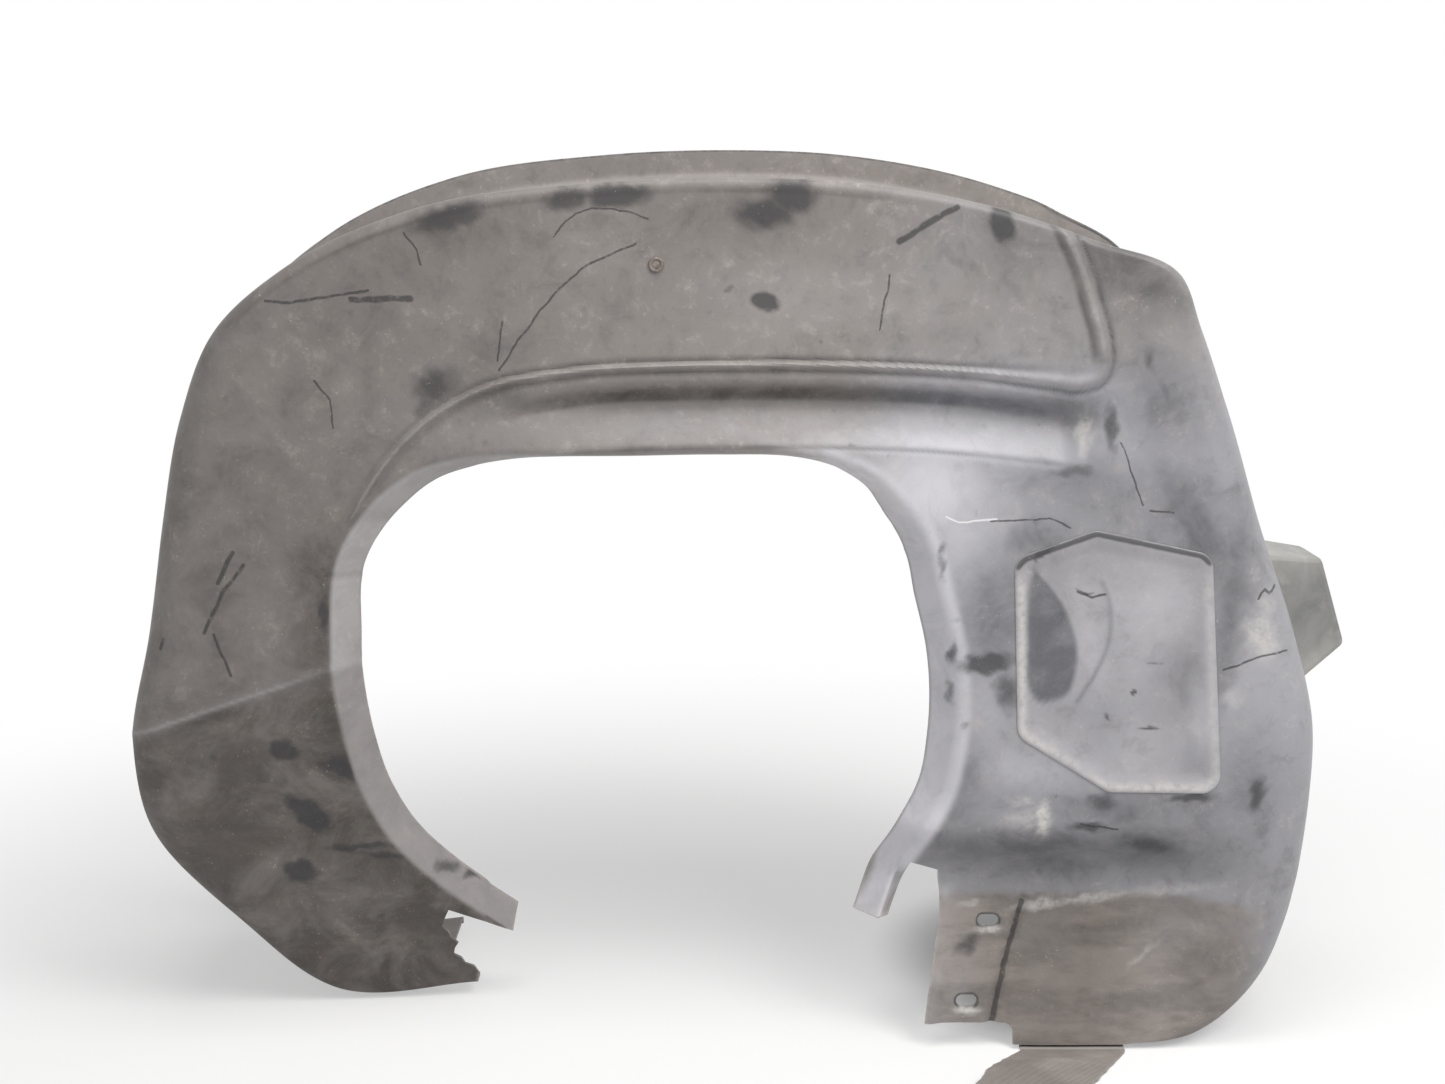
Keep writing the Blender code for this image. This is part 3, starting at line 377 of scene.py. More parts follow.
# Lower flap
FLAP_HINGE = (0.249, -0.004, 0.0012)
FLAP_WIDTH = 0.074
FLAP_HINGE_GAP = 0.0012
FLAP_LENGTH = 0.095
FLAP_SLANT = 0.60
FLAP_THICKNESS = 0.0018
FLAP_RIDGE_HEIGHT = 0.010
FLAP_RIDGE_REACH = 0.052
FLAP_RIDGE_BLEND = 0.0035
FLAP_END_ROUNDING = 0.010
FLAP_LIFT = 0.0003
FLAP_COLUMNS = 56
FLAP_ROWS = 72
FLAP_RIPPLE = 0.0004
FLAP_RIPPLE_START = (0.05, 0.4)
FLAP_WAVES = (90.0, 40.0)
FLAP_BLEND_SHARE = 0.1

ROUND_STEPS = 40
SHARP_ANGLE = math.radians(38)

# Camera
CAMERA_PLACE = (0.0, -1.345, 0.605)
CAMERA_TILT = math.radians(80.0)
CAMERA_LENS = 50.0
CAMERA_SENSOR = 36.0

# Stains on the wall: place (x, z), half sizes along and across, turn in degrees, strength
STAINS = [
    (-0.182, 0.586, 0.026, 0.009, 16, 0.85),
    (-0.103, 0.598, 0.016, 0.009, 10, 0.80),
    (-0.070, 0.600, 0.022, 0.008, 4, 0.95),
    (0.028, 0.588, 0.022, 0.011, 0, 0.80),
    (0.046, 0.600, 0.018, 0.013, -4, 0.85),
    (0.185, 0.583, 0.013, 0.0075, -72, 1.15),
    (0.028, 0.531, 0.0085, 0.0058, -20, 1.10),
    (-0.193, 0.475, 0.018, 0.013, 20, 0.70),
    (-0.200, 0.462, 0.012, 0.008, 40, 0.55),
    (-0.307, 0.217, 0.010, 0.008, -30, 1.00),
    (-0.295, 0.165, 0.018, 0.009, -50, 1.10),
    (-0.267, 0.203, 0.020, 0.012, -30, 0.80),
    (-0.306, 0.117, 0.012, 0.010, -20, 0.95),
    (-0.262, 0.136, 0.030, 0.0035, 2, 0.75),
    (-0.240, 0.127, 0.028, 0.0030, -8, 0.70),
    (0.181, 0.283, 0.018, 0.0075, 8, 0.95),
    (0.197, 0.262, 0.010, 0.018, 12, 0.65),
    (0.265, 0.184, 0.012, 0.0060, -10, 0.68),
    (0.326, 0.187, 0.017, 0.0034, 3, 0.80),
    (0.286, 0.492, 0.0050, 0.010, 0, 0.58),
    (0.297, 0.471, 0.0045, 0.011, 25, 0.46),
    (0.262, 0.446, 0.0050, 0.020, 6, 0.66),
    (0.236, 0.416, 0.018, 0.005, 4, 0.62),
    (0.176, 0.073, 0.013, 0.007, 38, 0.62),
    (0.254, 0.166, 0.016, 0.004, -4, 0.75),
    (0.300, 0.150, 0.030, 0.009, -16, 0.60),
    (0.372, 0.190, 0.006, 0.014, -10, 0.75),
    (0.160, 0.556, 0.020, 0.006, -30, 0.40),
    (0.150, 0.510, 0.022, 0.010, 0, 0.35),
    (-0.158, 0.545, 0.010, 0.016, 10, 0.30),
    (0.150, 0.352, 0.004, 0.016, 0, 0.55),
    (0.149, 0.362, 0.003, 0.006, 0, 0.60),
    (0.158, 0.290, 0.0035, 0.011, -4, 0.65),
    (0.157, 0.262, 0.0035, 0.010, 2, 0.60),
    (-0.272, 0.318, 0.004, 0.012, 0, 0.85),
    (-0.262, 0.208, 0.005, 0.010, 30, 0.75),
    (-0.205, 0.112, 0.005, 0.010, 60, 0.80),
    (-0.186, 0.100, 0.004, 0.008, 60, 0.80),
]
# Soft darker zones of painted shade, in the same form
SHADES = [
    (0.184, 0.322, 0.024, 0.046, 0, 0.80),
    (0.206, 0.368, 0.026, 0.013, 18, 0.62),
    (0.250, 0.412, 0.048, 0.022, -8, 0.55),
    (0.302, 0.398, 0.030, 0.026, -30, 0.50),
    (0.322, 0.378, 0.013, 0.050, 32, 0.85),
    (0.348, 0.322, 0.009, 0.062, -4, 0.78),
    (0.262, 0.180, 0.060, 0.013, -8, 0.75),
    (0.215, 0.150, 0.070, 0.012, 0, 0.85),
    (0.238, 0.128, 0.034, 0.010, 0, 0.72),
    (0.166, 0.200, 0.018, 0.040, 10, 0.62),
    (0.300, 0.160, 0.070, 0.032, 0, 0.55),
    (0.366, 0.200, 0.020, 0.060, 0, 0.50),
    (0.288, 0.472, 0.026, 0.036, 10, 0.50),
    (0.276, 0.548, 0.052, 0.022, -28, 0.95),
    (0.236, 0.458, 0.040, 0.012, 0, 0.50),
    (0.352, 0.430, 0.014, 0.060, 22, 0.30),
    (0.130, 0.470, 0.140, 0.005, 0, 0.30),
    (0.010, 0.590, 0.060, 0.020, 0, 0.42),
    (0.200, 0.572, 0.040, 0.026, -20, 0.34),
    (-0.170, 0.575, 0.060, 0.018, 18, 0.30),
    (-0.345, 0.300, 0.030, 0.070, 0, 0.20),
    (-0.330, 0.150, 0.060, 0.050, 0, 0.20),
    (0.258, 0.062, 0.034, 0.034, 0, 0.40),
    (0.346, 0.060, 0.020, 0.030, 40, 0.30),
]
# Soft paler zones of painted highlight and sheen, in the same form
PAINTED_HIGHLIGHTS = [
    (0.142, 0.402, 0.042, 0.036, -30, 1.00),
    (0.168, 0.372, 0.026, 0.046, 0, 0.90),
    (0.160, 0.432, 0.100, 0.012, -3, 0.75),
    (0.176, 0.250, 0.022, 0.050, 0, 0.40),
    (0.264, 0.428, 0.024, 0.020, 0, 0.30),
    (0.368, 0.262, 0.024, 0.046, 0, 0.42),
    (0.205, 0.205, 0.040, 0.016, -16, 0.40),
    (0.040, 0.447, 0.170, 0.011, 0, 0.28),
    (0.180, 0.476, 0.070, 0.006, -2, 0.40),
    (0.060, 0.535, 0.070, 0.022, 0, 0.10),
    (0.164, 0.058, 0.014, 0.060, 0, 0.34),
    (0.312, 0.520, 0.016, 0.050, 20, 0.22),
    (0.345, 0.470, 0.012, 0.060, 20, 0.24),
    (0.330, 0.085, 0.030, 0.016, 20, 0.30),
    (0.300, 0.040, 0.040, 0.018, 0, 0.18),
]
# Pale places, in the same form: rubs and crumbs of dust, and painted highlights on the ridge's bulge, at the
# trough's right end and on the slots' lower rims
RUBS_AND_HIGHLIGHTS = [
    (0.370, 0.302, 0.009, 0.016, 20, 0.90),
    (0.372, 0.322, 0.006, 0.010, 0, 0.50),
    (0.2228, 0.1705, 0.0050, 0.0120, 4, 1.30),
    (0.2090, 0.1720, 0.0120, 0.0065, 0, 0.60),
    (0.2090, 0.1855, 0.0100, 0.0030, 0, 0.45),
    (0.244, 0.441, 0.004, 0.013, 0, 0.95),
    (0.226, 0.100, 0.018, 0.0030, 8, 0.80),
    (0.262, 0.104, 0.026, 0.0026, 8, 0.75),
    (0.318, 0.112, 0.026, 0.0040, 10, 0.45),
    (0.178, 0.101, 0.008, 0.0025, 4, 0.60),
    (0.190, 0.0828, 0.0085, 0.0024, 2, 1.20),
    (0.174, 0.0278, 0.0085, 0.0024, 2, 1.20),
    (0.300, 0.065, 0.012, 0.0016, 40, 0.40),
    (0.108, 0.400, 0.012, 0.020, -35, 0.50),
    (0.352, 0.258, 0.006, 0.006, 0, 0.40),
]
# Sines that make the outlines of stains ragged: wave numbers along x and z, phase and share
RAGGED_WAVES = (
    (310.0, 190.0, 0.3, 1.0),
    (-170.0, 420.0, 1.9, 0.9),
    (640.0, -380.0, 4.1, 0.6),
    (-820.0, 610.0, 2.6, 0.45),
    (1330.0, 970.0, 5.2, 0.30),
)
RAGGED_SIZE = 0.0007
# Small seeded specks: how many, the part of the wall they lie in, their half sizes and strengths
SPECK_COUNT = 120
SPECK_SEED = 20
SPECK_LOW = (-0.40, 0.02)
SPECK_HIGH = (0.41, 0.61)
SPECK_SIZES = (0.0012, 0.0052)
SPECK_STRENGTHS = (0.15, 0.52)
# Thin dark scratches and cracks, and a painted shade line in the groove beside the tab: points (x, z) and half
# width
SCRATCHES = [
    ([(-0.304, 0.531), (-0.288, 0.530), (-0.236, 0.538)], 0.0014),
    ([(-0.247, 0.532), (-0.207, 0.533)], 0.0026),
    ([(-0.149, 0.485), (-0.121, 0.525), (-0.094, 0.552), (-0.058, 0.569)], 0.0010),
    ([(-0.112, 0.573), (-0.097, 0.589), (-0.074, 0.592), (-0.049, 0.585)], 0.0008),
    ([(0.117, 0.570), (0.137, 0.583), (0.155, 0.593)], 0.0028),
    ([(-0.211, 0.576), (-0.203, 0.565), (-0.200, 0.555)], 0.0010),
    ([(-0.355, 0.305), (-0.340, 0.335), (-0.326, 0.352)], 0.0018),
    ([(-0.348, 0.303), (-0.338, 0.275)], 0.0014),
    ([(-0.333, 0.3613), (-0.344, 0.3395)], 0.0020),
    ([(-0.1464, 0.5171), (-0.1499, 0.4916)], 0.0009),
    ([(-0.274, 0.478), (-0.263, 0.465), (-0.262, 0.446)], 0.0009),
    ([(0.345, 0.278), (0.367, 0.287), (0.389, 0.291)], 0.0011),
    ([(0.367, 0.328), (0.371, 0.335), (0.374, 0.332), (0.379, 0.336)], 0.0013),
    ([(0.269, 0.436), (0.285, 0.393)], 0.0008),
    ([(0.182, 0.382), (0.222, 0.384), (0.236, 0.378)], 0.0009),
    ([(0.111, 0.548), (0.105, 0.512)], 0.0009),
    ([(-0.386, 0.293), (-0.384, 0.300)], 0.0016),
    ([(0.290, 0.389), (0.306, 0.388)], 0.0009),
    ([(0.250, 0.168), (0.276, 0.164)], 0.0010),
    # Painted shade in the groove beside the tab
    ([(0.2140, 0.1010), (0.2025, 0.0620), (0.1915, 0.0180)], 0.0026),
]
# Thin pale cracks, in the same form
PALE_LINES = [
    ([(0.152, 0.385), (0.160, 0.3815), (0.172, 0.3822), (0.186, 0.3835)], 0.0009),
]
# Stains, darker and paler zones and scratches on the cover
COVER_STAINS = [
    (0.2480, 0.3330, 0.0060, 0.0014, -12, 0.80),
    (0.2840, 0.2610, 0.0034, 0.0022, 40, 0.80),
    (0.2960, 0.2370, 0.0080, 0.0016, 0, 0.75),
    (0.2660, 0.2450, 0.0040, 0.0020, -30, 0.70),
    (0.2980, 0.2830, 0.0080, 0.0010, 8, 0.60),
]
COVER_SHADES = [
    (0.316, 0.276, 0.018, 0.024, 0, 0.42),
    (0.330, 0.212, 0.013, 0.012, 0, 0.42),
    (0.262, 0.236, 0.012, 0.022, 10, 0.26),
]
COVER_GLOWS = [
    (0.300, 0.320, 0.026, 0.034, 0, 0.46),
    (0.252, 0.300, 0.010, 0.034, 10, 0.36),
    (0.334, 0.260, 0.009, 0.060, 0, 0.42),
    (0.290, 0.218, 0.040, 0.016, 0, 0.22),
]
COVER_SCRATCHES = [
    ([(0.2430, 0.3330), (0.2540, 0.3290), (0.2620, 0.3310)], 0.0011),
]
# Painted shadow along the top edges, a pale rim band of wear with a painted highlight added on the left and
# lower sides, and strengths of the cover's paint
COVER_TOP_SHADOW = (0.0022, 0.0024)
COVER_TOP_SHADOW_FADE = (0.0045, 0.0110)
COVER_LIT_SIDES_X = (0.215, 0.265)
COVER_LIT_SIDES_Z = (0.197, 0.208)
COVER_RIM_BAND = (0.0038, 0.0034)
COVER_RIM_BAND_START = (0.006, 0.020)
COVER_RIM_RUB = 0.45
COVER_SIDE_HIGHLIGHT = 0.50
COVER_DUST = 0.12
COVER_COOL = 0.80
COVER_RIB_SHADE = 0.50
COVER_RIB_SHADE_WIDTH = 0.0018
COVER_LENS_SHADE = 0.95
COVER_LENS_SHADE_EDGE = (-0.001, 0.004)
COVER_PALE = 0.16
# How sharply the edges of stains, rubs and painted highlights fall off
STAIN_POWER = 1.2
RUB_POWER = 1.6
MARK_FALL = 0.7
# Spans over which the shell's paint zones rise or fade; four values are a rise and then a fade
FRONT_TURN = (0.05, 0.35)
FRONT_DEPTH = (0.030, 0.045)
LEFT_FADE = (-0.16, -0.06)
BELOW_CREASE = (-0.001, 0.010)
PANEL_DUST_TOP = (0.100, 0.114)
PANEL_DUST_X = (0.10, 0.14, 0.34, 0.40)
FLANGE_LEFT_EDGE = (-0.001, 0.003)
FLANGE_RIGHT_EDGE = (0.004, 0.011)
FLANGE_RIGHT_X = (0.02, 0.10)
FLANGE_CLEAN_Z = (0.105, 0.130)
LIP_EDGE_SHADE = (-0.0026, -0.0004)
COOL_ROUND_FOLD_Y = (0.020, 0.120)
COOL_X = (0.02, 0.17)
COOL_TOP_Z = (0.43, 0.52)
LEFTWARDS_X = (-0.38, 0.05)
BY_FLANGE = (-0.001, 0.002, 0.003, 0.048)
BY_FLANGE_TOP = (0.34, 0.43)
LOW_LEG_Z = (0.02, 0.15)
VALLEY_SHADE_X = (0.13, 0.17, 0.30, 0.37)
RECESS_FALL = (0.0090, 0.0165, 0.0215, 0.0250)
RECESS_X = (-0.155, -0.100, 0.200, 0.236)
TROUGH_LINE_X = (-0.150, -0.060, 0.225, 0.240)
FOLD_LINE_Z = (0.50, 0.54)
FOLD_LINE_X = (0.05, 0.15)
GROOVE_LINE_RIGHT_X = (0.18, 0.22)
GROOVE_LINE_START_X = (-0.20, -0.10)
CREASE_SHINE_X = (-0.29, -0.26)
# Places and widths of its soft lines: painted shade under the ridge, along the trough's groove, under the
# leg's crease and along the fold, and a painted highlight on the crease
VALLEY_SHADE_Z = 0.140
VALLEY_SHADE_WIDTH = 0.018
TROUGH_LINE_WIDTH = 0.0015
CREASE_SHADE = (0.0050, 0.0034)
CREASE_SHADE_X = (-0.360, 0.026)
CREASE_SHINE = (-0.0010, 0.0014)
FOLD_LINE = (-0.0085, 0.0016)
# Strengths of its painted shade zones
DARK_STRENGTHS = {
    "leftwards": 0.42,
    "by_flange": 0.88,
    "below_crease": 0.66,
    "low_leg": 0.64,
    "valley": 0.50,
    "recess": 0.90,
    "crease_shade": 0.95,
    "trough_line": 0.60,
    "fold_line": 0.55,
}
# Strengths of the painted shade in the band's grooves, and how much stain and painted shade the flanges lose
GROOVE_LINE = 0.55
GROOVE_LINE_RIGHT = 0.30
FLANGE_CLEAN = 0.85
FLANGE_LEFT_CLEAR = 0.8
FLANGE_RIGHT_CLEAR = 0.6
# Strengths of the painted highlights on the left flange, the leg's crease and the tab's rolled edge; then the
# dust below the crease and the cool tone
FLANGE_LEFT_PALE = 0.42
CREASE_SHINE_PALE = 0.40
TAB_BEAD_PALE = 0.45
BELOW_CREASE_DUST = 0.5
COOL_ROUND_FOLD = 0.8
COOL_TOP_LOSS = 0.6


def frame_shift():
    """From the drawing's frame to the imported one."""
    hinge = next(joint for joint in frame["joints"] if joint["name"] == "flap_bend")
    return np.array(hinge["pos_m"]) - np.array(FLAP_HINGE)


SHIFT = frame_shift()


def smooth(value, low, high):
    share = np.clip((value - low) / (high - low), 0.0, 1.0)
    return share * share * (3.0 - 2.0 * share)


def fade(value, span):
    return 1.0 - smooth(value, *span)


def window(value, span):
    """Rises over the span's first two values and fades over its last two."""
    return smooth(value, *span[:2]) * fade(value, span[2:])


def soft_ramp(value, blend):
    return 0.5 * (value + np.sqrt(value * value + blend * blend))


def bell(value, width):
    return np.exp(-np.square(value / width))


def spline(points, places):
    """A smooth curve through points of any dimension; places count them from 0."""
    points = np.asarray(points, float)
    places = np.asarray(places, float)
    last = len(points) - 1
    index = np.minimum(places.astype(int), last - 1)
    share = (places - index)[:, None]
    runs = np.diff(points, axis=0)
    steps = np.maximum(np.linalg.norm(runs, axis=1), 1e-6)[:, None]
    chords = runs / steps
    before, after = steps[:-1], steps[1:]
    inner = (chords[1:] * before + chords[:-1] * after) / (before + after)
    starts = np.vstack([chords[:1], inner])[index]
    ends = np.vstack([inner, chords[-1:]])[index]
    step = steps[index]
    square, cube = share**2, share**3
    return (
        points[index] * (2 * cube - 3 * square + 1)
        + starts * step * (cube - 2 * square + share)
        + points[index + 1] * (3 * square - 2 * cube)
        + ends * step * (cube - square)
    )


def fine_path(points, steps=8):
    """A polyline's smooth curve, with some points in each of its spans."""
    return spline(points, np.linspace(0.0, len(points) - 1, (len(points) - 1) * steps + 1))


def path_distance(path, x, z):
    """Distance to a path, positive on the left as it runs."""
    nearest = np.full(x.shape, np.inf)
    side = np.ones(x.shape)
    for (x_a, z_a), (x_b, z_b) in zip(path, path[1:]):
        run_x, run_z = x_b - x_a, z_b - z_a
        share = np.clip(((x - x_a) * run_x + (z - z_a) * run_z) / (run_x**2 + run_z**2), 0.0, 1.0)
        gap = np.hypot(x - x_a - share * run_x, z - z_a - share * run_z)
        nearer = gap < nearest
        nearest = np.where(nearer, gap, nearest)
        side = np.where(nearer, np.sign(run_x * (z - z_a) - run_z * (x - x_a)), side)
    return nearest * side


CREST_PATH = fine_path(BAND_EDGE_POINTS)[:CREST_COUNT]
BAND_PATH = np.vstack([BAND_RUN_IN, fine_path(BAND_EDGE_POINTS)])
SIDE_BEAD_PATH = fine_path(SIDE_BEAD_POINTS)
TAB_GROOVE_PATH = fine_path(TAB_GROOVE)
COVER_PATH = np.array(COVER_CORNERS + COVER_CORNERS[:1])
OPENING_PATH = fine_path([row[0] for row in ARCH_STATIONS], 4)
FOLD_PATH = fine_path([row[1] for row in ARCH_STATIONS + PANEL_STATIONS], 6)


def leg_crease(x):
    return LEG_CREASE_Z + LEG_CREASE_SLOPE * (x - LEG_CREASE_X)


def leg_depth(x, z):
    below = leg_crease(x) - z
    share = 1.0 - smooth(x, LEG_FADE_START, LEG_FADE_END)
    return share * (LEG_LEAN * soft_ramp(below, LEG_BLEND) - LEG_BEAD_RISE * bell(below, LEG_BEAD_WIDTH))


def tab_bead(x, z):
    """The rolled left edge of the tab, from 0 to 1."""
    edge = spline([row[0] for row in PANEL_STATIONS], np.arange(len(PANEL_STATIONS), dtype=float))[::-1]
    from_edge = x - np.interp(z, edge[:, 1], edge[:, 0])
    low = 1.0 - smooth(z, TAB_BEAD_TOP - TAB_BEAD_FADE, TAB_BEAD_TOP)
    return low * bell(from_edge - TAB_BEAD_IN, TAB_BEAD_WIDTH) * (x > PANEL_LEFT_START)


def panel_depth(x, z):
    under_ridge = VALLEY_DEPTH * smooth(RIDGE_Z - z, 0.0, RIDGE_Z - VALLEY_Z)
    below_valley = soft_ramp(VALLEY_Z - z, VALLEY_BLEND) * VALLEY_DEPTH / VALLEY_Z
    share = smooth(x, PANEL_LEFT_START, PANEL_LEFT_END) * (1.0 - smooth(x, PANEL_FADE_START, PANEL_FADE_END))
    depth = share * np.maximum(under_ridge - below_valley, 0.0)
    bulge = bell(x - RIDGE_BULGE_PLACE[0], RIDGE_BULGE_SPREAD[0])
    bulge = bulge * bell(z - RIDGE_BULGE_PLACE[1], RIDGE_BULGE_SPREAD[1])
    groove = bell(path_distance(TAB_GROOVE_PATH, x, z), TAB_GROOVE_WIDTH)
    return depth - RIDGE_BULGE_RISE * bulge + TAB_GROOVE_DEPTH * groove - TAB_BEAD_RISE * tab_bead(x, z)


def trough_depth(x, z):
    """The rolled edge under the band, the drop below it and the floor that comes back out."""
    fall = np.interp(x, CREST_PATH[:, 0], CREST_PATH[:, 1]) - z
    down = smooth(fall, TROUGH_ROLL, TROUGH_DROP)
    back_out = np.clip((TROUGH_HEIGHT - fall) / (TROUGH_HEIGHT - TROUGH_DROP), 0.0, 1.0)
    share = smooth(x, TROUGH_LEFT_START, TROUGH_LEFT_END)
    share = share * (1.0 - smooth(x, TROUGH_RIGHT_START, TROUGH_RIGHT_END))
    groove = EDGE_GROOVE_DEPTH * bell(fall - TROUGH_HEIGHT, TROUGH_GROOVE_WIDTH)
    return share * (TROUGH_DEPTH * np.minimum(down, back_out) + groove)


def edge_bead_width(x):
    widen = smooth(x, EDGE_BEAD_WIDEN_START, EDGE_BEAD_WIDEN_END)
    return EDGE_BEAD_WIDTH_LEFT + (EDGE_BEAD_WIDTH_RIGHT - EDGE_BEAD_WIDTH_LEFT) * widen


def edge_grooves(x, z):
    """The grooves beside the band edge's bead, from 0 to 1. The inner one ends at the lower right corner."""
    inside = path_distance(BAND_PATH, x, z)
    width = edge_bead_width(x)
    widen = smooth(x, EDGE_BEAD_WIDEN_START, EDGE_BEAD_WIDEN_END)
    ends = 1.0 - widen * (1.0 - smooth(z, INNER_GROOVE_LOW, INNER_GROOVE_HIGH))
    inner_width = EDGE_GROOVE_WIDTH + INNER_GROOVE_WIDER * widen
    return bell(inside + width, EDGE_GROOVE_WIDTH) + ends * bell(inside - 3.0 * width, inner_width)


def band_rise(x, z):
    """The raised band, the bead round its edge and the wider bead at its right end."""
    inside = path_distance(BAND_PATH, x, z)
    width = edge_bead_width(x)
    bead = EDGE_BEAD_RISE * bell(inside - width, width)
    grooves = EDGE_GROOVE_DEPTH * edge_grooves(x, z)
    side = SIDE_BEAD_RISE * bell(path_distance(SIDE_BEAD_PATH, x, z), SIDE_BEAD_WIDTH)
    return BAND_RISE * smooth(inside, -BAND_EDGE, BAND_EDGE) + bead - grooves + side


def waviness(x, z):
    wave = sum(np.sin(a * x + b * z + c) for a, b, c in WAVE_NUMBERS) / len(WAVE_NUMBERS)
    from_cover = np.abs(path_distance(COVER_PATH, x, z))
    inside = inside_outline(COVER_CORNERS, x, z)
    clear = np.where(inside, 0.0, smooth(from_cover, WAVE_CLEAR_OF_COVER, WAVE_CLEAR_OF_COVER + WAVE_FADE))
    from_plug = np.hypot(x - PLUG_PLACE[0], z - PLUG_PLACE[1])
    return WAVE_SIZE * wave * clear * smooth(from_plug, WAVE_CLEAR_OF_COVER, WAVE_CLEAR_OF_COVER + WAVE_FADE)


def inside_outline(corners, x, z):
    """Which points lie inside an outline."""
    inside = np.zeros(x.shape, bool)
    for (x_a, z_a), (x_b, z_b) in zip(corners, corners[1:] + corners[:1]):
        if z_a == z_b:
            continue
        crosses = ((z_a > z) != (z_b > z)) & (x < (x_b - x_a) * (z - z_a) / (z_b - z_a) + x_a)
        inside ^= crosses
    return inside


def wall_depth(x, z):
    """How far back (+Y) the wall's front face lies."""
    x, z = np.asarray(x, float), np.asarray(z, float)
    return leg_depth(x, z) + panel_depth(x, z) + trough_depth(x, z) - band_rise(x, z) + waviness(x, z)


def stations_at(stations, places):
    """Edges, folds and sizes of the arch's sections at some places."""
    edges = spline([row[0] for row in stations], places)
    folds = spline([row[1] for row in stations], places)
    sizes = spline([row[2:] for row in stations], places)
    return edges, folds, sizes


def outward_at(stations, places):
    """Directions out of the arch, square to its fold line."""
    last = len(stations) - 1
    folds = [row[1] for row in stations]
    ahead = spline(folds, np.minimum(places + DIRECTION_STEP, last))
    along = ahead - spline(folds, np.maximum(places - DIRECTION_STEP, 0.0))
    along /= np.linalg.norm(along, axis=1)[:, None]
    return np.stack([-along[:, 1], along[:, 0]], axis=1)


def dense_places(stations):
    """Places along the arch at nearly even steps of the fold line."""
    places = [0.0]
    for index, (row, after) in enumerate(zip(stations, stations[1:])):
        steps = max(2, math.ceil(math.dist(row[1], after[1]) / ALONG_STEP))
        places += [index + (step + 1) / steps for step in range(steps)]
    return np.array(places)


def unit(vectors):
    return vectors / np.linalg.norm(vectors, axis=1)[:, None]


def on_wall(flat, back=0.0):
    """Points of the wall at (x, z) places."""
    return np.stack([flat[..., 0], wall_depth(flat[..., 0], flat[..., 1]) + back, flat[..., 1]], axis=-1)


def lip_share(x, z):
    """How much of its width the lip has: little at the lower ends, and less at the upper right corner."""
    rise = LIP_LOW_SHARE + (1.0 - LIP_LOW_SHARE) * smooth(z, LIP_FADE_LOW, LIP_FADE_HIGH)
    return rise * (1.0 - LIP_CORNER_DIP * smooth(x, *LIP_CORNER_X) * smooth(z, *LIP_CORNER_Z))


def wall_sections(starts, folds, radii, outward):
    """Rows of points from the wall's edge over the fold and tread band to the lip."""
    across = unit(folds - starts)
    fold_starts = folds - across * radii[:, None]
    shares = np.linspace(0.0, 1.0, WALL_COLUMNS + 1)[None, :, None]
    wall = on_wall(starts[:, None] * (1.0 - shares) + fold_starts[:, None] * shares)
    turns = (0.5 * math.pi * np.arange(1, FOLD_COLUMNS + 1) / FOLD_COLUMNS)[None, :]
    flat = folds[:, None] - across[:, None] * (radii[:, None] * (1.0 - np.sin(turns)))[..., None]
    fold = on_wall(flat, radii[:, None] * (1.0 - np.cos(turns)))
    tread_start = fold[:, -1, 1][:, None]
    tread_end = TREAD_DEPTH - LIP_FILLET
    tread_shares = np.arange(1, TREAD_COLUMNS + 1)[None, :] / TREAD_COLUMNS
    depths = [tread_start + (tread_end - tread_start) * tread_shares]
    outs = [np.zeros_like(depths[0])]
    share = lip_share(folds[:, 0], folds[:, 1])[:, None]
    turns = 0.5 * math.pi * np.arange(1, FILLET_COLUMNS + 1)[None, :] / FILLET_COLUMNS
    depths.append(tread_end + LIP_FILLET * np.sin(turns) * np.ones_like(share))
    outs.append(LIP_FILLET * (1.0 - np.cos(turns)) * share)
    lip = LIP_FILLET + (LIP_WIDTH - LIP_FILLET) * np.arange(1, LIP_COLUMNS + 1)[None, :] / LIP_COLUMNS
    depths.append(np.full_like(lip, TREAD_DEPTH) * np.ones_like(share))
    outs.append(lip * share)
    depth, out = np.hstack(depths), np.hstack(outs)
    flat = folds[:, None] + outward[:, None] * out[..., None]
    band = np.stack([flat[..., 0], depth, flat[..., 1]], axis=-1)
    return np.concatenate([wall, fold, band], axis=1)


def flange_sections(starts, edges, across, turn_in, turn_back):
    """Rows of points from the flange's tip to the wall, without the wall's own first point."""
    base = on_wall(edges)
    first = on_wall(starts)
    reach = np.stack([-across[:, 0] * turn_in, turn_back, -across[:, 1] * turn_in], axis=1)
    tip = base + reach
    length = np.linalg.norm(reach, axis=1)[:, None]
    end = base + reach * np.minimum(FLANGE_TURN / length, 0.6)
    rows = []
    for share in np.linspace(0.0, 1.0, FLANGE_COLUMNS + 1)[:-1]:
        rows.append(tip * (1.0 - share) + end * share)
    for share in np.linspace(1.0, 0.0, TURN_COLUMNS + 1)[:-1]:
        rows.append(first * (1.0 - share) ** 2 + base * 2.0 * share * (1.0 - share) + end * share**2)
    return np.stack(rows, axis=1)


def grid_faces(indices):
    """Quads of a grid of vertex numbers, facing the front."""
    a, b = indices[1:, :-1], indices[1:, 1:]
    c, d = indices[:-1, 1:], indices[:-1, :-1]
    return np.stack([a, b, c, d], axis=-1).reshape(-1, 4)


def shade(made):
    """Smooth shading, with sharp edges where the faces turn far."""
    made.data.shade_smooth()
    made.data.set_sharp_from_angle(angle=SHARP_ANGLE)


def new_object(name, data, material=None):
    made = bpy.data.objects.new(name, data)
    bpy.context.scene.collection.objects.link(made)
    if material:
        data.materials.clear()
        data.materials.append(material)
    shade(made)
    return made


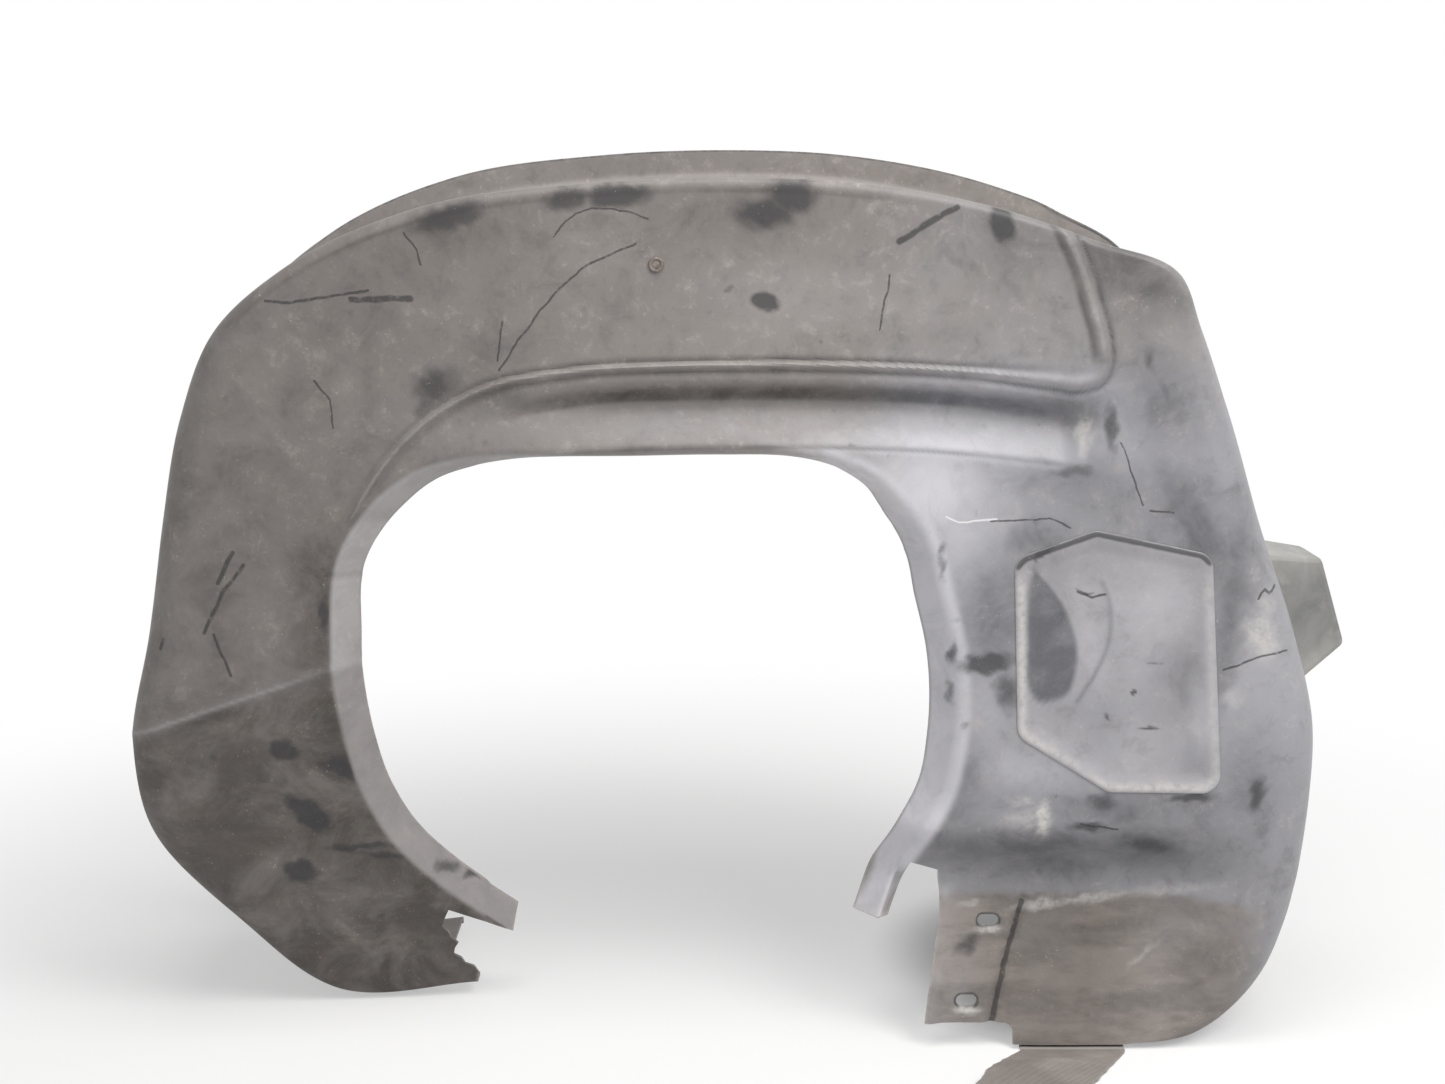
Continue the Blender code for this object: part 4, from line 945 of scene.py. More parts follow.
def mesh_data(name, points, faces):
    data = bpy.data.meshes.new(name)
    data.from_pydata(np.asarray(points).tolist(), [], np.asarray(faces).tolist())
    data.update()
    return data


def bmesh_data(name, mesh):
    data = bpy.data.meshes.new(name)
    mesh.to_mesh(data)
    mesh.free()
    return data


def face_out(mesh):
    bmesh.ops.recalc_face_normals(mesh, faces=mesh.faces)
    if mesh.calc_volume(signed=True) < 0.0:
        bmesh.ops.reverse_faces(mesh, faces=mesh.faces)


def settle(made, modifiers):
    """Applies modifiers, given as (type, settings) pairs, to an object's mesh and shades it again."""
    for kind, settings in modifiers:
        change = made.modifiers.new(kind.lower(), kind)
        for key, value in settings.items():
            setattr(change, key, value)
    bpy.context.view_layer.update()
    shown = made.evaluated_get(bpy.context.evaluated_depsgraph_get())
    data = bpy.data.meshes.new_from_object(shown)
    made.modifiers.clear()
    old = made.data
    made.data = data
    bpy.data.meshes.remove(old)
    shade(made)


def boolean(tool, operation="DIFFERENCE", solver="MANIFOLD"):
    return ("BOOLEAN", {"object": tool, "operation": operation, "solver": solver})


def drop(*helpers):
    for helper in helpers:
        bpy.data.objects.remove(helper, do_unlink=True)


def prism(mesh, outline, front, back):
    """Adds a prism along Y between two depths to a bmesh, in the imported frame."""
    loops = []
    for depth in (front, back):
        loops.append([mesh.verts.new(Vector((x, depth, z)) + Vector(SHIFT)) for x, z in outline])
    count = len(outline)
    for index in range(count):
        after = (index + 1) % count
        mesh.faces.new((loops[0][index], loops[0][after], loops[1][after], loops[1][index]))
    mesh.faces.new(loops[0])
    mesh.faces.new(loops[1])


def ring(place, radius, steps=ROUND_STEPS):
    angles = [2.0 * math.pi * step / steps for step in range(steps)]
    return [(place[0] + radius * math.cos(angle), place[1] + radius * math.sin(angle)) for angle in angles]


def slot_outline(place):
    run = 0.5 * (TAB_SLOT_LENGTH - TAB_SLOT_WIDTH)
    outline = []
    for x, z in ring((0.0, 0.0), 0.5 * TAB_SLOT_WIDTH):
        outline.append((place[0] + x + math.copysign(run, x), place[1] + z))
    return outline


def rounded_outline(corners, radius, corner_steps, side_steps):
    """A clockwise outline with rounded corners and evenly divided sides."""
    arcs = []
    count = len(corners)
    for index in range(count):
        corner = Vector(corners[index])
        to_last = (Vector(corners[index - 1]) - corner).normalized()
        to_next = (Vector(corners[(index + 1) % count]) - corner).normalized()
        half = 0.5 * to_last.angle(to_next)
        setback = radius / math.tan(half)
        centre = corner + (to_last + to_next).normalized() * radius / math.sin(half)
        start = (corner + to_last * setback - centre).normalized()
        end = (corner + to_next * setback - centre).normalized()
        shares = [step / corner_steps for step in range(corner_steps + 1)]
        arcs.append([centre + start.slerp(end, share) * radius for share in shares])
    outline = []
    for arc, after in zip(arcs, arcs[1:] + arcs[:1]):
        outline += arc
        for step in range(1, side_steps):
            outline.append(arc[-1].lerp(after[0], step / side_steps))
    return [(point.x, point.y) for point in outline]


def inset_corners(corners, distance):
    """The corners of a clockwise outline moved inwards by one distance on every side."""
    moved = []
    count = len(corners)
    for index in range(count):
        corner = Vector(corners[index])
        from_last = (corner - Vector(corners[index - 1])).normalized()
        to_next = (Vector(corners[(index + 1) % count]) - corner).normalized()
        inward = (Vector((from_last.y, -from_last.x)) + Vector((to_next.y, -to_next.x))).normalized()
        half = 0.5 * (math.pi - from_last.angle(to_next))
        moved.append(corner + inward * distance / math.sin(half))
    return moved


def cover_outline(inset):
    radius = max(COVER_CORNER_RADIUS - inset, COVER_LEAST_RADIUS)
    return rounded_outline(inset_corners(COVER_CORNERS, inset), radius, COVER_CORNER_STEPS, COVER_SIDE_STEPS)


def retainer_place(place):
    """Middle of a retainer's hole on the lip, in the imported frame."""
    at = np.array([place])
    fold = stations_at(ARCH_STATIONS, at)[1][0]
    flat = fold + outward_at(ARCH_STATIONS, at)[0] * RETAINER_OFFSET
    return Vector((flat[0], TREAD_DEPTH, flat[1])) + Vector(SHIFT)


def screw_places():
    """Each screw's name, its place on the tread band's outer face and its direction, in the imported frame."""
    first, last = BRACKET_STATIONS
    ends = stations_at(ARCH_STATIONS, np.array(BRACKET_STATIONS))[1]
    share = 0.5 * SCREW_SPREAD / math.dist(ends[0], ends[1])
    places = []
    for name, side in (("upper", -1.0), ("lower", 1.0)):
        at = np.array([first + (last - first) * (0.5 + side * share)])
        fold = stations_at(ARCH_STATIONS, at)[1][0]
        out = outward_at(ARCH_STATIONS, at)[0]
        place = Vector((fold[0], 0.5 * (BRACKET_FRONT + BRACKET_BACK), fold[1])) + Vector(SHIFT)
        places.append((name, place, Vector((out[0], 0.0, out[1]))))
    return places


def turned(profile, place, axis, inner=None):
    """A body turned from (radius, distance along the axis) points. With an inner profile it has a bore."""
    mesh = bmesh.new()
    turn = Matrix.Translation(place) @ Vector((0.0, 0.0, 1.0)).rotation_difference(axis).to_matrix().to_4x4()
    points = list(profile) + list(reversed(inner)) if inner else list(profile)
    loops = []
    for radius, along in points:
        loops.append([mesh.verts.new(turn @ Vector((x, z, along))) for x, z in ring((0.0, 0.0), radius)])
    pairs = list(zip(loops, loops[1:]))
    if inner:
        pairs.append((loops[-1], loops[0]))
    for first, second in pairs:
        for step in range(ROUND_STEPS):
            after = (step + 1) % ROUND_STEPS
            mesh.faces.new((first[step], first[after], second[after], second[step]))
    if not inner:
        mesh.faces.new(loops[0])
        mesh.faces.new(loops[-1])
    face_out(mesh)
    return mesh


def box_object(name, matrix, size):
    mesh = bmesh.new()
    bmesh.ops.create_cube(mesh, size=1.0, matrix=matrix @ Matrix.Diagonal((*size, 1.0)))
    return new_object(name, bmesh_data(name, mesh), None)


def shell_sheet():
    """The shell's front face as one sheet: wall, fold, tread band, lip and the opening's turned flange."""
    places = dense_places(ARCH_STATIONS)
    edges, folds, sizes = stations_at(ARCH_STATIONS, places)
    across = unit(folds - edges)
    starts = edges + across * FLANGE_TURN
    panel_places = dense_places(PANEL_STATIONS)
    panel_edges, panel_folds, panel_sizes = stations_at(PANEL_STATIONS, panel_places)
    panel_out = outward_at(PANEL_STATIONS, panel_places)
    arch_out = outward_at(ARCH_STATIONS, places)
    joins = np.linspace(0.0, 1.0, JOIN_ROWS + 1)[1:-1][:, None]

    def joined(last, first):
        return np.concatenate([last[None] * (1.0 - joins) + first[None] * joins])

    all_starts = np.vstack([starts, joined(starts[-1], panel_edges[0]), panel_edges])
    all_folds = np.vstack([folds, joined(folds[-1], panel_folds[0]), panel_folds])
    join_radii = joined(sizes[-1:, 0], panel_sizes[:1, 0])[:, 0]
    all_radii = np.concatenate([sizes[:, 0], join_radii, panel_sizes[:, 0]])
    all_out = unit(np.vstack([arch_out, joined(arch_out[-1], panel_out[0]), panel_out]))
    wall = wall_sections(all_starts, all_folds, all_radii, all_out)

    near_ends = np.array([TAIL_DIRECTION_STEP, len(ARCH_STATIONS) - 1 - TAIL_DIRECTION_STEP])
    beside = stations_at(ARCH_STATIONS, near_ends)[0]
    left_run = (edges[0] - beside[0]) / math.dist(edges[0], beside[0]) * FLANGE_TAIL_LEFT
    right_run = (edges[-1] - beside[1]) / math.dist(edges[-1], beside[1]) * FLANGE_TAIL_RIGHT
    shares = np.arange(1, TAIL_ROWS + 1)[:, None] / TAIL_ROWS
    left, right = shares[::-1] * left_run, shares * right_run

    def with_tails(values, shifted):
        first = np.repeat(values[:1], TAIL_ROWS, axis=0)
        last = np.repeat(values[-1:], TAIL_ROWS, axis=0)
        if shifted:
            first, last = first + left, last + right
        return np.concatenate([first, values, last])

    flange = flange_sections(
        with_tails(starts, True),
        with_tails(edges, True),
        with_tails(across, False),
        with_tails(sizes[:, 1], False),
        with_tails(sizes[:, 2], False),
    )
    tail_starts = on_wall(np.vstack([starts[0] + left, starts[-1] + right]))

    wall_ids = np.arange(wall.shape[0] * wall.shape[1]).reshape(wall.shape[:2])
    flange_ids = np.arange(flange.shape[0] * flange.shape[1]).reshape(flange.shape[:2]) + wall_ids.size
    tail_ids = np.arange(2 * TAIL_ROWS) + wall_ids.size + flange_ids.size
    arch_rows = len(places)
    first_column = np.concatenate([tail_ids[:TAIL_ROWS], wall_ids[:arch_rows, 0], tail_ids[TAIL_ROWS:]])
    flange_ids = np.hstack([flange_ids, first_column[:, None]])
    points = np.vstack([wall.reshape(-1, 3), flange.reshape(-1, 3), tail_starts]) + SHIFT
    return points, np.vstack([grid_faces(wall_ids), grid_faces(flange_ids)])


def shell_cutters():
    """Two joined cutters: holes through the shell, and its torn and notched ends."""
    holes = bmesh.new()
    prism(holes, cover_outline(COVER_RIM_WIDTH), -CUTTER_REACH, CUTTER_REACH)
    for place in TAB_SLOTS:
        middle = float(wall_depth(*place))
        prism(holes, slot_outline(place), middle - CUTTER_REACH, middle + CUTTER_REACH)
    middle = float(wall_depth(*PLUG_PLACE))
    prism(holes, ring(PLUG_PLACE, PLUG_SHANK + PUSH_GAP), middle - CUTTER_REACH, middle + CUTTER_REACH)
    for place in RETAINER_STATIONS:
        point = retainer_place(place) - Vector(SHIFT)
        hole = ring((point.x, point.z), RETAINER_SHANK + PUSH_GAP)
        prism(holes, hole, point.y - CUTTER_REACH, point.y + CUTTER_REACH)
    for _, place, out in screw_places():
        reach = SCREW_SHANK + SLIDE_GAP
        hole = turned([(reach, -2.0 * SHELL_WALL), (reach, 2.0 * SHELL_WALL)], place, out)
        holes.from_mesh(bmesh_data("screw_hole", hole))
    face_out(holes)

    ends = bmesh.new()
    foot = wall_depth(TREAD_TEAR_LEFT, 0.0) + SHELL_WALL
    middle = float(wall_depth(*TEAR_CORNERS[5]))
    prism(ends, TEAR_CORNERS, middle - TEAR_REACH, middle + TEAR_REACH)
    notch = [(TAB_FOOT_LEFT, -CUTTER_REACH), (TAB_FOOT_LEFT, TAB_FOOT_HEIGHT)]
    centre = (TAB_FOOT_RIGHT - TAB_FOOT_CORNER, TAB_FOOT_HEIGHT - TAB_FOOT_CORNER)
    for step in range(TAB_FOOT_STEPS + 1):
        angle = 0.5 * math.pi * (1.0 - step / TAB_FOOT_STEPS)
        x = centre[0] + TAB_FOOT_CORNER * math.cos(angle)
        notch.append((x, centre[1] + TAB_FOOT_CORNER * math.sin(angle)))
    notch.append((TAB_FOOT_RIGHT, -CUTTER_REACH))
    prism(ends, notch, -CUTTER_REACH, 2.0 * CUTTER_REACH)
    band = [
        (TREAD_TEAR_LEFT, -CUTTER_REACH),
        (TREAD_TEAR_LEFT, TREAD_TEAR_HEIGHT),
        (TREAD_TEAR_RIGHT, TREAD_TEAR_HEIGHT),
        (TREAD_TEAR_RIGHT, -CUTTER_REACH),
    ]
    prism(ends, band, float(foot) + TREAD_TEAR_START, TREAD_DEPTH + CUTTER_REACH)
    face_out(ends)
    return [new_object("holes", bmesh_data("holes", holes)), new_object("ends", bmesh_data("ends", ends))]


def ellipse_mask(marks, x, z, power=1.0):
    """The strongest of some soft ellipses at each point."""
    mask = np.zeros(x.shape)
    for place_x, place_z, along, across, turn, strength in marks:
        cosine, sine = math.cos(math.radians(turn)), math.sin(math.radians(turn))
        run = (x - place_x) * cosine + (z - place_z) * sine
        rise = (z - place_z) * cosine - (x - place_x) * sine
        away = (run / along) ** 2 + (rise / across) ** 2
        mask = np.maximum(mask, strength * np.exp(-MARK_FALL * away**power))
    return mask


def wander(x, z):
    """Places moved about by sines of many lengths."""
    shift_x = sum(share * np.sin(a * x + b * z + c) for a, b, c, share in RAGGED_WAVES)
    shift_z = sum(share * np.sin(b * x - a * z + 2.0 * c) for a, b, c, share in RAGGED_WAVES)
    return x + RAGGED_SIZE * shift_x, z + RAGGED_SIZE * shift_z


def speck_marks():
    """Small seeded stains, as a list in the form of the others."""
    rng = np.random.default_rng(SPECK_SEED)
    places = rng.uniform(SPECK_LOW, SPECK_HIGH, (SPECK_COUNT, 2))
    sizes = rng.uniform(*SPECK_SIZES, (SPECK_COUNT, 2)) * rng.uniform(0.4, 1.0, (SPECK_COUNT, 1)) ** 2
    turns = rng.uniform(-90.0, 90.0, (SPECK_COUNT, 1))
    strengths = rng.uniform(*SPECK_STRENGTHS, (SPECK_COUNT, 1))
    return np.hstack([places, sizes + SPECK_SIZES[0], turns, strengths]).tolist()


def all_of(*zones):
    """Several zones together, each from 0 to 1."""
    clear = np.ones_like(zones[0])
    for zone in zones:
        clear = clear * (1.0 - np.clip(zone, 0.0, 1.0))
    return 1.0 - clear


def set_attribute(data, name, values):
    layer = data.attributes.new(name, "FLOAT", "POINT")
    layer.data.foreach_set("value", np.asarray(values, np.float32))


def mesh_arrays(data):
    """Vertex places in the drawing's frame, and their normals."""
    points = np.empty(len(data.vertices) * 3, np.float32)
    normals = np.empty(len(data.vertices) * 3, np.float32)
    data.vertices.foreach_get("co", points)
    data.vertex_normals.foreach_get("vector", normals)
    return points.reshape(-1, 3).astype(float) - SHIFT, normals.reshape(-1, 3).astype(float)


def slot_rim_shade(x, z):
    """Painted shade round the tab's slots and on their inner sides, from 0 to 1."""
    rim_shade = np.zeros(x.shape)
    for place in TAB_SLOTS:
        outline = slot_outline(place)
        from_rim = path_distance(np.array(outline + outline[:1]), x, z)
        rim_shade = np.maximum(rim_shade, bell(from_rim, SLOT_SHADE_WIDTH))
    return rim_shade


def paint_shell(data):
    """Writes where the shell is stained, dusty, rubbed or cool grey, and where painted shade and painted
    highlights go.
    """
    points, normals = mesh_arrays(data)
    x, y, z = points.T
    front = smooth(-normals[:, 1], *FRONT_TURN) * fade(y - wall_depth(x, z), FRONT_DEPTH)
    ragged = wander(x, z)
    opening = path_distance(OPENING_PATH, x, z)
    from_fold = path_distance(FOLD_PATH, x, z)
    under_crease = leg_crease(x) - z
    fall = np.interp(x, CREST_PATH[:, 0], CREST_PATH[:, 1]) - z
    left = fade(x, LEFT_FADE)
    below = smooth(under_crease, *BELOW_CREASE) * left
    panel = fade(ragged[1], PANEL_DUST_TOP) * window(x, PANEL_DUST_X) * front
    flange_left = fade(opening, FLANGE_LEFT_EDGE) * left
    flange_right = fade(opening, FLANGE_RIGHT_EDGE) * smooth(x, *FLANGE_RIGHT_X)
    set_attribute(data, "front", front)

    specks = ellipse_mask(speck_marks(), *ragged, power=STAIN_POWER)
    stains = np.maximum(ellipse_mask(STAINS, *ragged, power=STAIN_POWER), specks) * front
    stains = stains * (1.0 - FLANGE_CLEAN * flange_left * smooth(z, *FLANGE_CLEAN_Z))
    # Painted shade: a dark line along the lip's outer edge, laid in with the stains
    lip_edge = smooth(from_fold - LIP_WIDTH * lip_share(x, z), *LIP_EDGE_SHADE)
    lip_edge = lip_edge * (y > TREAD_DEPTH - LIP_FILLET)
    # Painted shade round the tab's slots joins the stains here
    set_attribute(data, "stain_and_shade", np.maximum.reduce([stains, lip_edge, slot_rim_shade(x, z)]))
    # Rubs, and painted highlights
    set_attribute(data, "rub_and_highlight", ellipse_mask(RUBS_AND_HIGHLIGHTS, *ragged, power=RUB_POWER) * front)
    set_attribute(data, "dust", np.clip(panel + BELOW_CREASE_DUST * below, 0.0, 1.0))
    # Cool grey tone on the right and round the fold: partly the plastic's cleaner tone, partly painted sheen
    round_fold = np.maximum(front, COOL_ROUND_FOLD * fade(y, COOL_ROUND_FOLD_Y))
    cool = smooth(x, *COOL_X) * (1.0 - COOL_TOP_LOSS * smooth(z, *COOL_TOP_Z))
    set_attribute(data, "cool", cool * (1.0 - panel) * round_fold)

    # Painted shade: darker leftwards away from the light, beside the left flange, below the leg's crease,
    # under the ridge, in the trough's recess and along its groove, in the crease and along the fold; the leg
    # is also darker towards the bottom
    zones = {
        "leftwards": fade(x, LEFTWARDS_X),
        "by_flange": window(opening, BY_FLANGE) * left * fade(z, BY_FLANGE_TOP),
        "below_crease": below,
        "low_leg": fade(z, LOW_LEG_Z) * left,
        "valley": bell(z - VALLEY_SHADE_Z, VALLEY_SHADE_WIDTH) * window(x, VALLEY_SHADE_X),
        "recess": window(fall, RECESS_FALL) * window(x, RECESS_X),
        "crease_shade": bell(under_crease - CREASE_SHADE[0], CREASE_SHADE[1])
        * bell(x - CREASE_SHADE_X[0], CREASE_SHADE_X[1]),
        "trough_line": bell(fall - TROUGH_HEIGHT, TROUGH_LINE_WIDTH) * window(x, TROUGH_LINE_X),
        "fold_line": bell(from_fold - FOLD_LINE[0], FOLD_LINE[1])
        * smooth(z, *FOLD_LINE_Z)
        * fade(x, FOLD_LINE_X),
    }
    # Painted shade in the grooves beside the band's bead
    line_strength = GROOVE_LINE + GROOVE_LINE_RIGHT * smooth(x, *GROOVE_LINE_RIGHT_X)
    lines = line_strength * edge_grooves(x, z) * smooth(x, *GROOVE_LINE_START_X)
    strong = [DARK_STRENGTHS[name] * zone for name, zone in zones.items()]
    dark = all_of(*strong, ellipse_mask(SHADES, *ragged), lines)
    dark = dark * (1.0 - FLANGE_LEFT_CLEAR * flange_left) * (1.0 - FLANGE_RIGHT_CLEAR * flange_right)
    set_attribute(data, "dark", dark * front)
    # Painted highlights: paler zones, the flanges that face the light, a line along the leg's crease and the
    # tab's rolled edge
    crease_shine = bell(under_crease - CREASE_SHINE[0], CREASE_SHINE[1]) * fade(x, CREASE_SHINE_X)
    pale = all_of(
        ellipse_mask(PAINTED_HIGHLIGHTS, *ragged),
        FLANGE_LEFT_PALE * flange_left,
        flange_right,
        CREASE_SHINE_PALE * crease_shine,
        TAB_BEAD_PALE * tab_bead(x, z),
    )
    set_attribute(data, "pale", pale * front)


def build_shell(material):
    points, faces = shell_sheet()
    shell = new_object("shell_visual", mesh_data("shell_visual", points, faces), material)
    cutters = shell_cutters()
    skin = ("SOLIDIFY", {"thickness": SHELL_WALL, "offset": -1.0, "use_even_offset": False})
    settle(shell, [skin] + [boolean(cutter) for cutter in cutters])
    drop(*cutters)
    paint_shell(shell.data)
    keep_piece(shell, "liner", "liner_shell")


def keep_piece(piece, body, node):
    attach(piece, body)
    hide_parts(node)


def cover_floor_depth(x, z, rim_share):
    lens = path_distance(fine_path(COVER_LENS + COVER_LENS[:1]), x, z)
    rib = np.abs(path_distance(fine_path(COVER_RIB), x, z))
    depth = COVER_SINK + (COVER_RIM_PROFILE[-1][1] - COVER_SINK) * rim_share**COVER_FLOOR_POWER
    depth = depth + COVER_LENS_DEPTH * smooth(lens, 0.0, COVER_LENS_EDGE)
    depth = depth - COVER_RIB_RISE * bell(rib, COVER_RIB_WIDTH)
    return depth - COVER_CROWN * (1.0 - rim_share**2)


def build_cover(material):
    """A pan with a rolled rim that lies on the wall, a floor with its relief and four spring legs behind."""
    rings = []
    for inset, depth in reversed(COVER_RIM_PROFILE):
        rings.append(np.insert(np.array(cover_outline(inset)), 1, depth, axis=1))
    inner = np.array(cover_outline(COVER_RIM_PROFILE[-1][0]))
    middle = inner.mean(axis=0)
    floor = []
    for step in range(1, COVER_FLOOR_RINGS):
        share = step / COVER_FLOOR_RINGS
        flat = middle + (inner - middle) * share
        floor.append(np.insert(flat, 1, cover_floor_depth(flat[:, 0], flat[:, 1], share), axis=1))
    side = np.array(cover_outline(COVER_RIM_WIDTH + SLIDE_GAP))
    back = COVER_SINK + COVER_WALL
    behind = [np.insert(side, 1, -TOUCH_GAP, axis=1)]
    for share in COVER_BACK_SHARES:
        behind.append(np.insert(middle + (side - middle) * share, 1, back, axis=1))
    loops = floor + rings + behind
    count = len(inner)
    points = np.vstack(loops)
    ids = np.arange(len(points)).reshape(len(loops), count)
    ids = np.hstack([ids, ids[:, :1]])
    quads = grid_faces(ids).tolist()
    quads.append(ids[0, :-1].tolist())
    quads.append(ids[-1, :-1].tolist())
    data = bpy.data.meshes.new("cover_visual")
    data.from_pydata((points + SHIFT).tolist(), [], quads)
    mesh = bmesh.new()
    mesh.from_mesh(data)
    face_out(mesh)
    mesh.to_mesh(data)
    mesh.free()
    cover = new_object("cover_visual", data, material)
    legs = bmesh.new()
    spots = inset_corners(COVER_CORNERS, COVER_RIM_WIDTH + SLIDE_GAP + 0.5 * COVER_LEG_THICKNESS)
    for index in COVER_LEG_SIDES:
        start, end = spots[index], spots[(index + 1) % len(spots)]
        along = (end - start).normalized()
        across = Vector((along.y, -along.x))
        place = 0.5 * (start + end)
        half, thick = 0.5 * COVER_LEG_WIDTH, 0.5 * COVER_LEG_THICKNESS
        front = back - 0.5 * COVER_WALL
        outline = COVER_LEG_OUTLINE
        layers = []
        for side_step in (-thick, thick):
            layer = []
            for run, reach in outline:
                flat = place + along * run * half + across * side_step
                point = Vector((flat.x, front + reach * COVER_LEG_LENGTH, flat.y))
                layer.append(legs.verts.new(point + Vector(SHIFT)))
            layers.append(layer)
        for step in range(len(outline)):
            after = (step + 1) % len(outline)
            legs.faces.new((layers[0][step], layers[0][after], layers[1][after], layers[1][step]))
        legs.faces.new(layers[0])
        legs.faces.new(layers[1])
    face_out(legs)
    tool = new_object("cover_legs", bmesh_data("cover_legs", legs), None)
    settle(cover, [boolean(tool, "UNION")])
    drop(tool)
    paint_cover(cover.data)
    keep_piece(cover, "cover", "access_cover")


def paint_cover(data):
    points, normals = mesh_arrays(data)
    x, y, z = points.T
    front = smooth(-normals[:, 1], *FRONT_TURN)
    lens = path_distance(fine_path(COVER_LENS + COVER_LENS[:1]), x, z)
    outline = cover_outline(0.0)
    from_edge = np.abs(path_distance(np.array(outline + outline[:1]), x, z))
    from_top = np.abs(path_distance(np.array(COVER_CORNERS[:3]), x, z))
    # Painted shadow along the top edges, laid in with the stains
    top_shadow = bell(from_edge - COVER_TOP_SHADOW[0], COVER_TOP_SHADOW[1]) * fade(from_top, COVER_TOP_SHADOW_FADE)
    # Pale rim: wear round the sides and bottom, with a painted highlight added on the left and lower sides
    lit_sides = all_of(fade(x, COVER_LIT_SIDES_X), fade(z, COVER_LIT_SIDES_Z))
    rim = bell(from_edge - COVER_RIM_BAND[0], COVER_RIM_BAND[1]) * smooth(from_top, *COVER_RIM_BAND_START)
    rim = rim * (COVER_RIM_RUB + COVER_SIDE_HIGHLIGHT * lit_sides)
    ragged = wander(x, z)
    stains = ellipse_mask(COVER_STAINS, *ragged, power=RUB_POWER)
    set_attribute(data, "front", front)
    set_attribute(data, "stain_and_shade", np.maximum(top_shadow, stains) * front)
    set_attribute(data, "rub_and_highlight", rim * front)
    set_attribute(data, "dust", COVER_DUST * front)
    set_attribute(data, "cool", np.full(x.shape, COVER_COOL))
    rib_side = bell(np.abs(path_distance(fine_path(COVER_RIB), x, z)), COVER_RIB_SHADE_WIDTH)
    lens_shade = COVER_LENS_SHADE * smooth(lens, *COVER_LENS_SHADE_EDGE)
    dark = all_of(lens_shade, ellipse_mask(COVER_SHADES, *ragged), COVER_RIB_SHADE * rib_side)
    set_attribute(data, "dark", dark * front)
    set_attribute(data, "pale", all_of(ellipse_mask(COVER_GLOWS, *ragged), COVER_PALE * front) * front)


def build_flap(material):
    """A thin sheet that lies forward on the floor, with a slanting fold across it."""
    share, step = np.meshgrid(np.linspace(0.0, 1.0, FLAP_COLUMNS + 1), np.linspace(0.0, 1.0, FLAP_ROWS + 1))
    length = FLAP_LENGTH - FLAP_END_ROUNDING * (2.0 * share - 1.0) ** 4
    reach = FLAP_HINGE_GAP + length * step
    ridge = np.maximum(FLAP_RIDGE_REACH * (1.0 - share), 1e-4)
    rise = FLAP_RIDGE_HEIGHT * (1.0 - share)
    up = rise * reach / ridge
    down = rise * np.maximum(1.0 - (reach - ridge) / (FLAP_LENGTH - ridge), 0.0)
    difference = up - down
    blend = FLAP_RIDGE_BLEND**2 * rise / FLAP_RIDGE_HEIGHT * FLAP_BLEND_SHARE
    height = down + 0.5 * (difference - np.sqrt(difference**2 + blend))
    wave = 1.0 + np.sin(FLAP_WAVES[0] * share + FLAP_WAVES[1] * step)
    ripple = FLAP_RIPPLE * wave * smooth(step, *FLAP_RIPPLE_START)
    x = FLAP_HINGE[0] + FLAP_WIDTH * (share - 0.5) - FLAP_SLANT * reach
    points = np.stack([x, FLAP_HINGE[1] - reach, FLAP_LIFT + np.maximum(height, 0.0) + ripple], axis=-1)
    ids = np.arange(share.size).reshape(share.shape)
    data = mesh_data("flap_visual", points.reshape(-1, 3) + SHIFT, grid_faces(ids))
    flap = new_object("flap_visual", data, material)
    if data.polygons[0].normal.z > 0.0:
        data.flip_normals()
    settle(flap, [("SOLIDIFY", {"thickness": FLAP_THICKNESS, "offset": -1.0})])
    keep_piece(flap, "flap", "lower_flap")


def cut_boxes(piece, matrix, *sizes):
    tools = [box_object(f"cut_{index}", matrix, size) for index, size in enumerate(sizes)]
    settle(piece, [boolean(tool, solver="EXACT") for tool in tools])
    drop(*tools)


def cross_recess(piece, place, axis, top, side):
    """Cuts a cross into a fastener's head; side says which way along the axis the head faces."""
    turn = Vector((0.0, 0.0, 1.0)).rotation_difference(axis).to_matrix().to_4x4()
    matrix = Matrix.Translation(place + axis * (top - side * 0.5 * RECESS_DEPTH)) @ turn
    depth = RECESS_OVERCUT * RECESS_DEPTH
    cut_boxes(piece, matrix, (RECESS_LENGTH, RECESS_WIDTH, depth), (RECESS_WIDTH, RECESS_LENGTH, depth))


def build_retainer(index, station, plastic):
    point = retainer_place(station)
    axis = Vector((0.0, 1.0, 0.0))
    name = f"retainer_body_visual_{index}"
    mesh = turned(RETAINER_BODY_OUTER, point, axis, RETAINER_BODY_INNER)
    body = new_object(name, bmesh_data(name, mesh), plastic)
    matrix = Matrix.Translation(point + axis * (RETAINER_SLIT_END - 0.5 * RETAINER_SLIT_LENGTH))
    slit = (RETAINER_HEAD_DIAMETER, RETAINER_SLIT_LENGTH, RETAINER_SLIT_WIDTH)
    cut_boxes(body, matrix, slit, slit[::-1])
    keep_piece(body, "liner", f"lip_retainer_body_{index}")
    name = f"retainer_pin_visual_{index}"
    pin = new_object(name, bmesh_data(name, turned(PIN_PROFILE, point, axis)), plastic)
    cross_recess(pin, point, axis, PIN_TOP, 1.0)
    keep_piece(pin, f"pin_{index}", f"lip_retainer_pin_{index}")


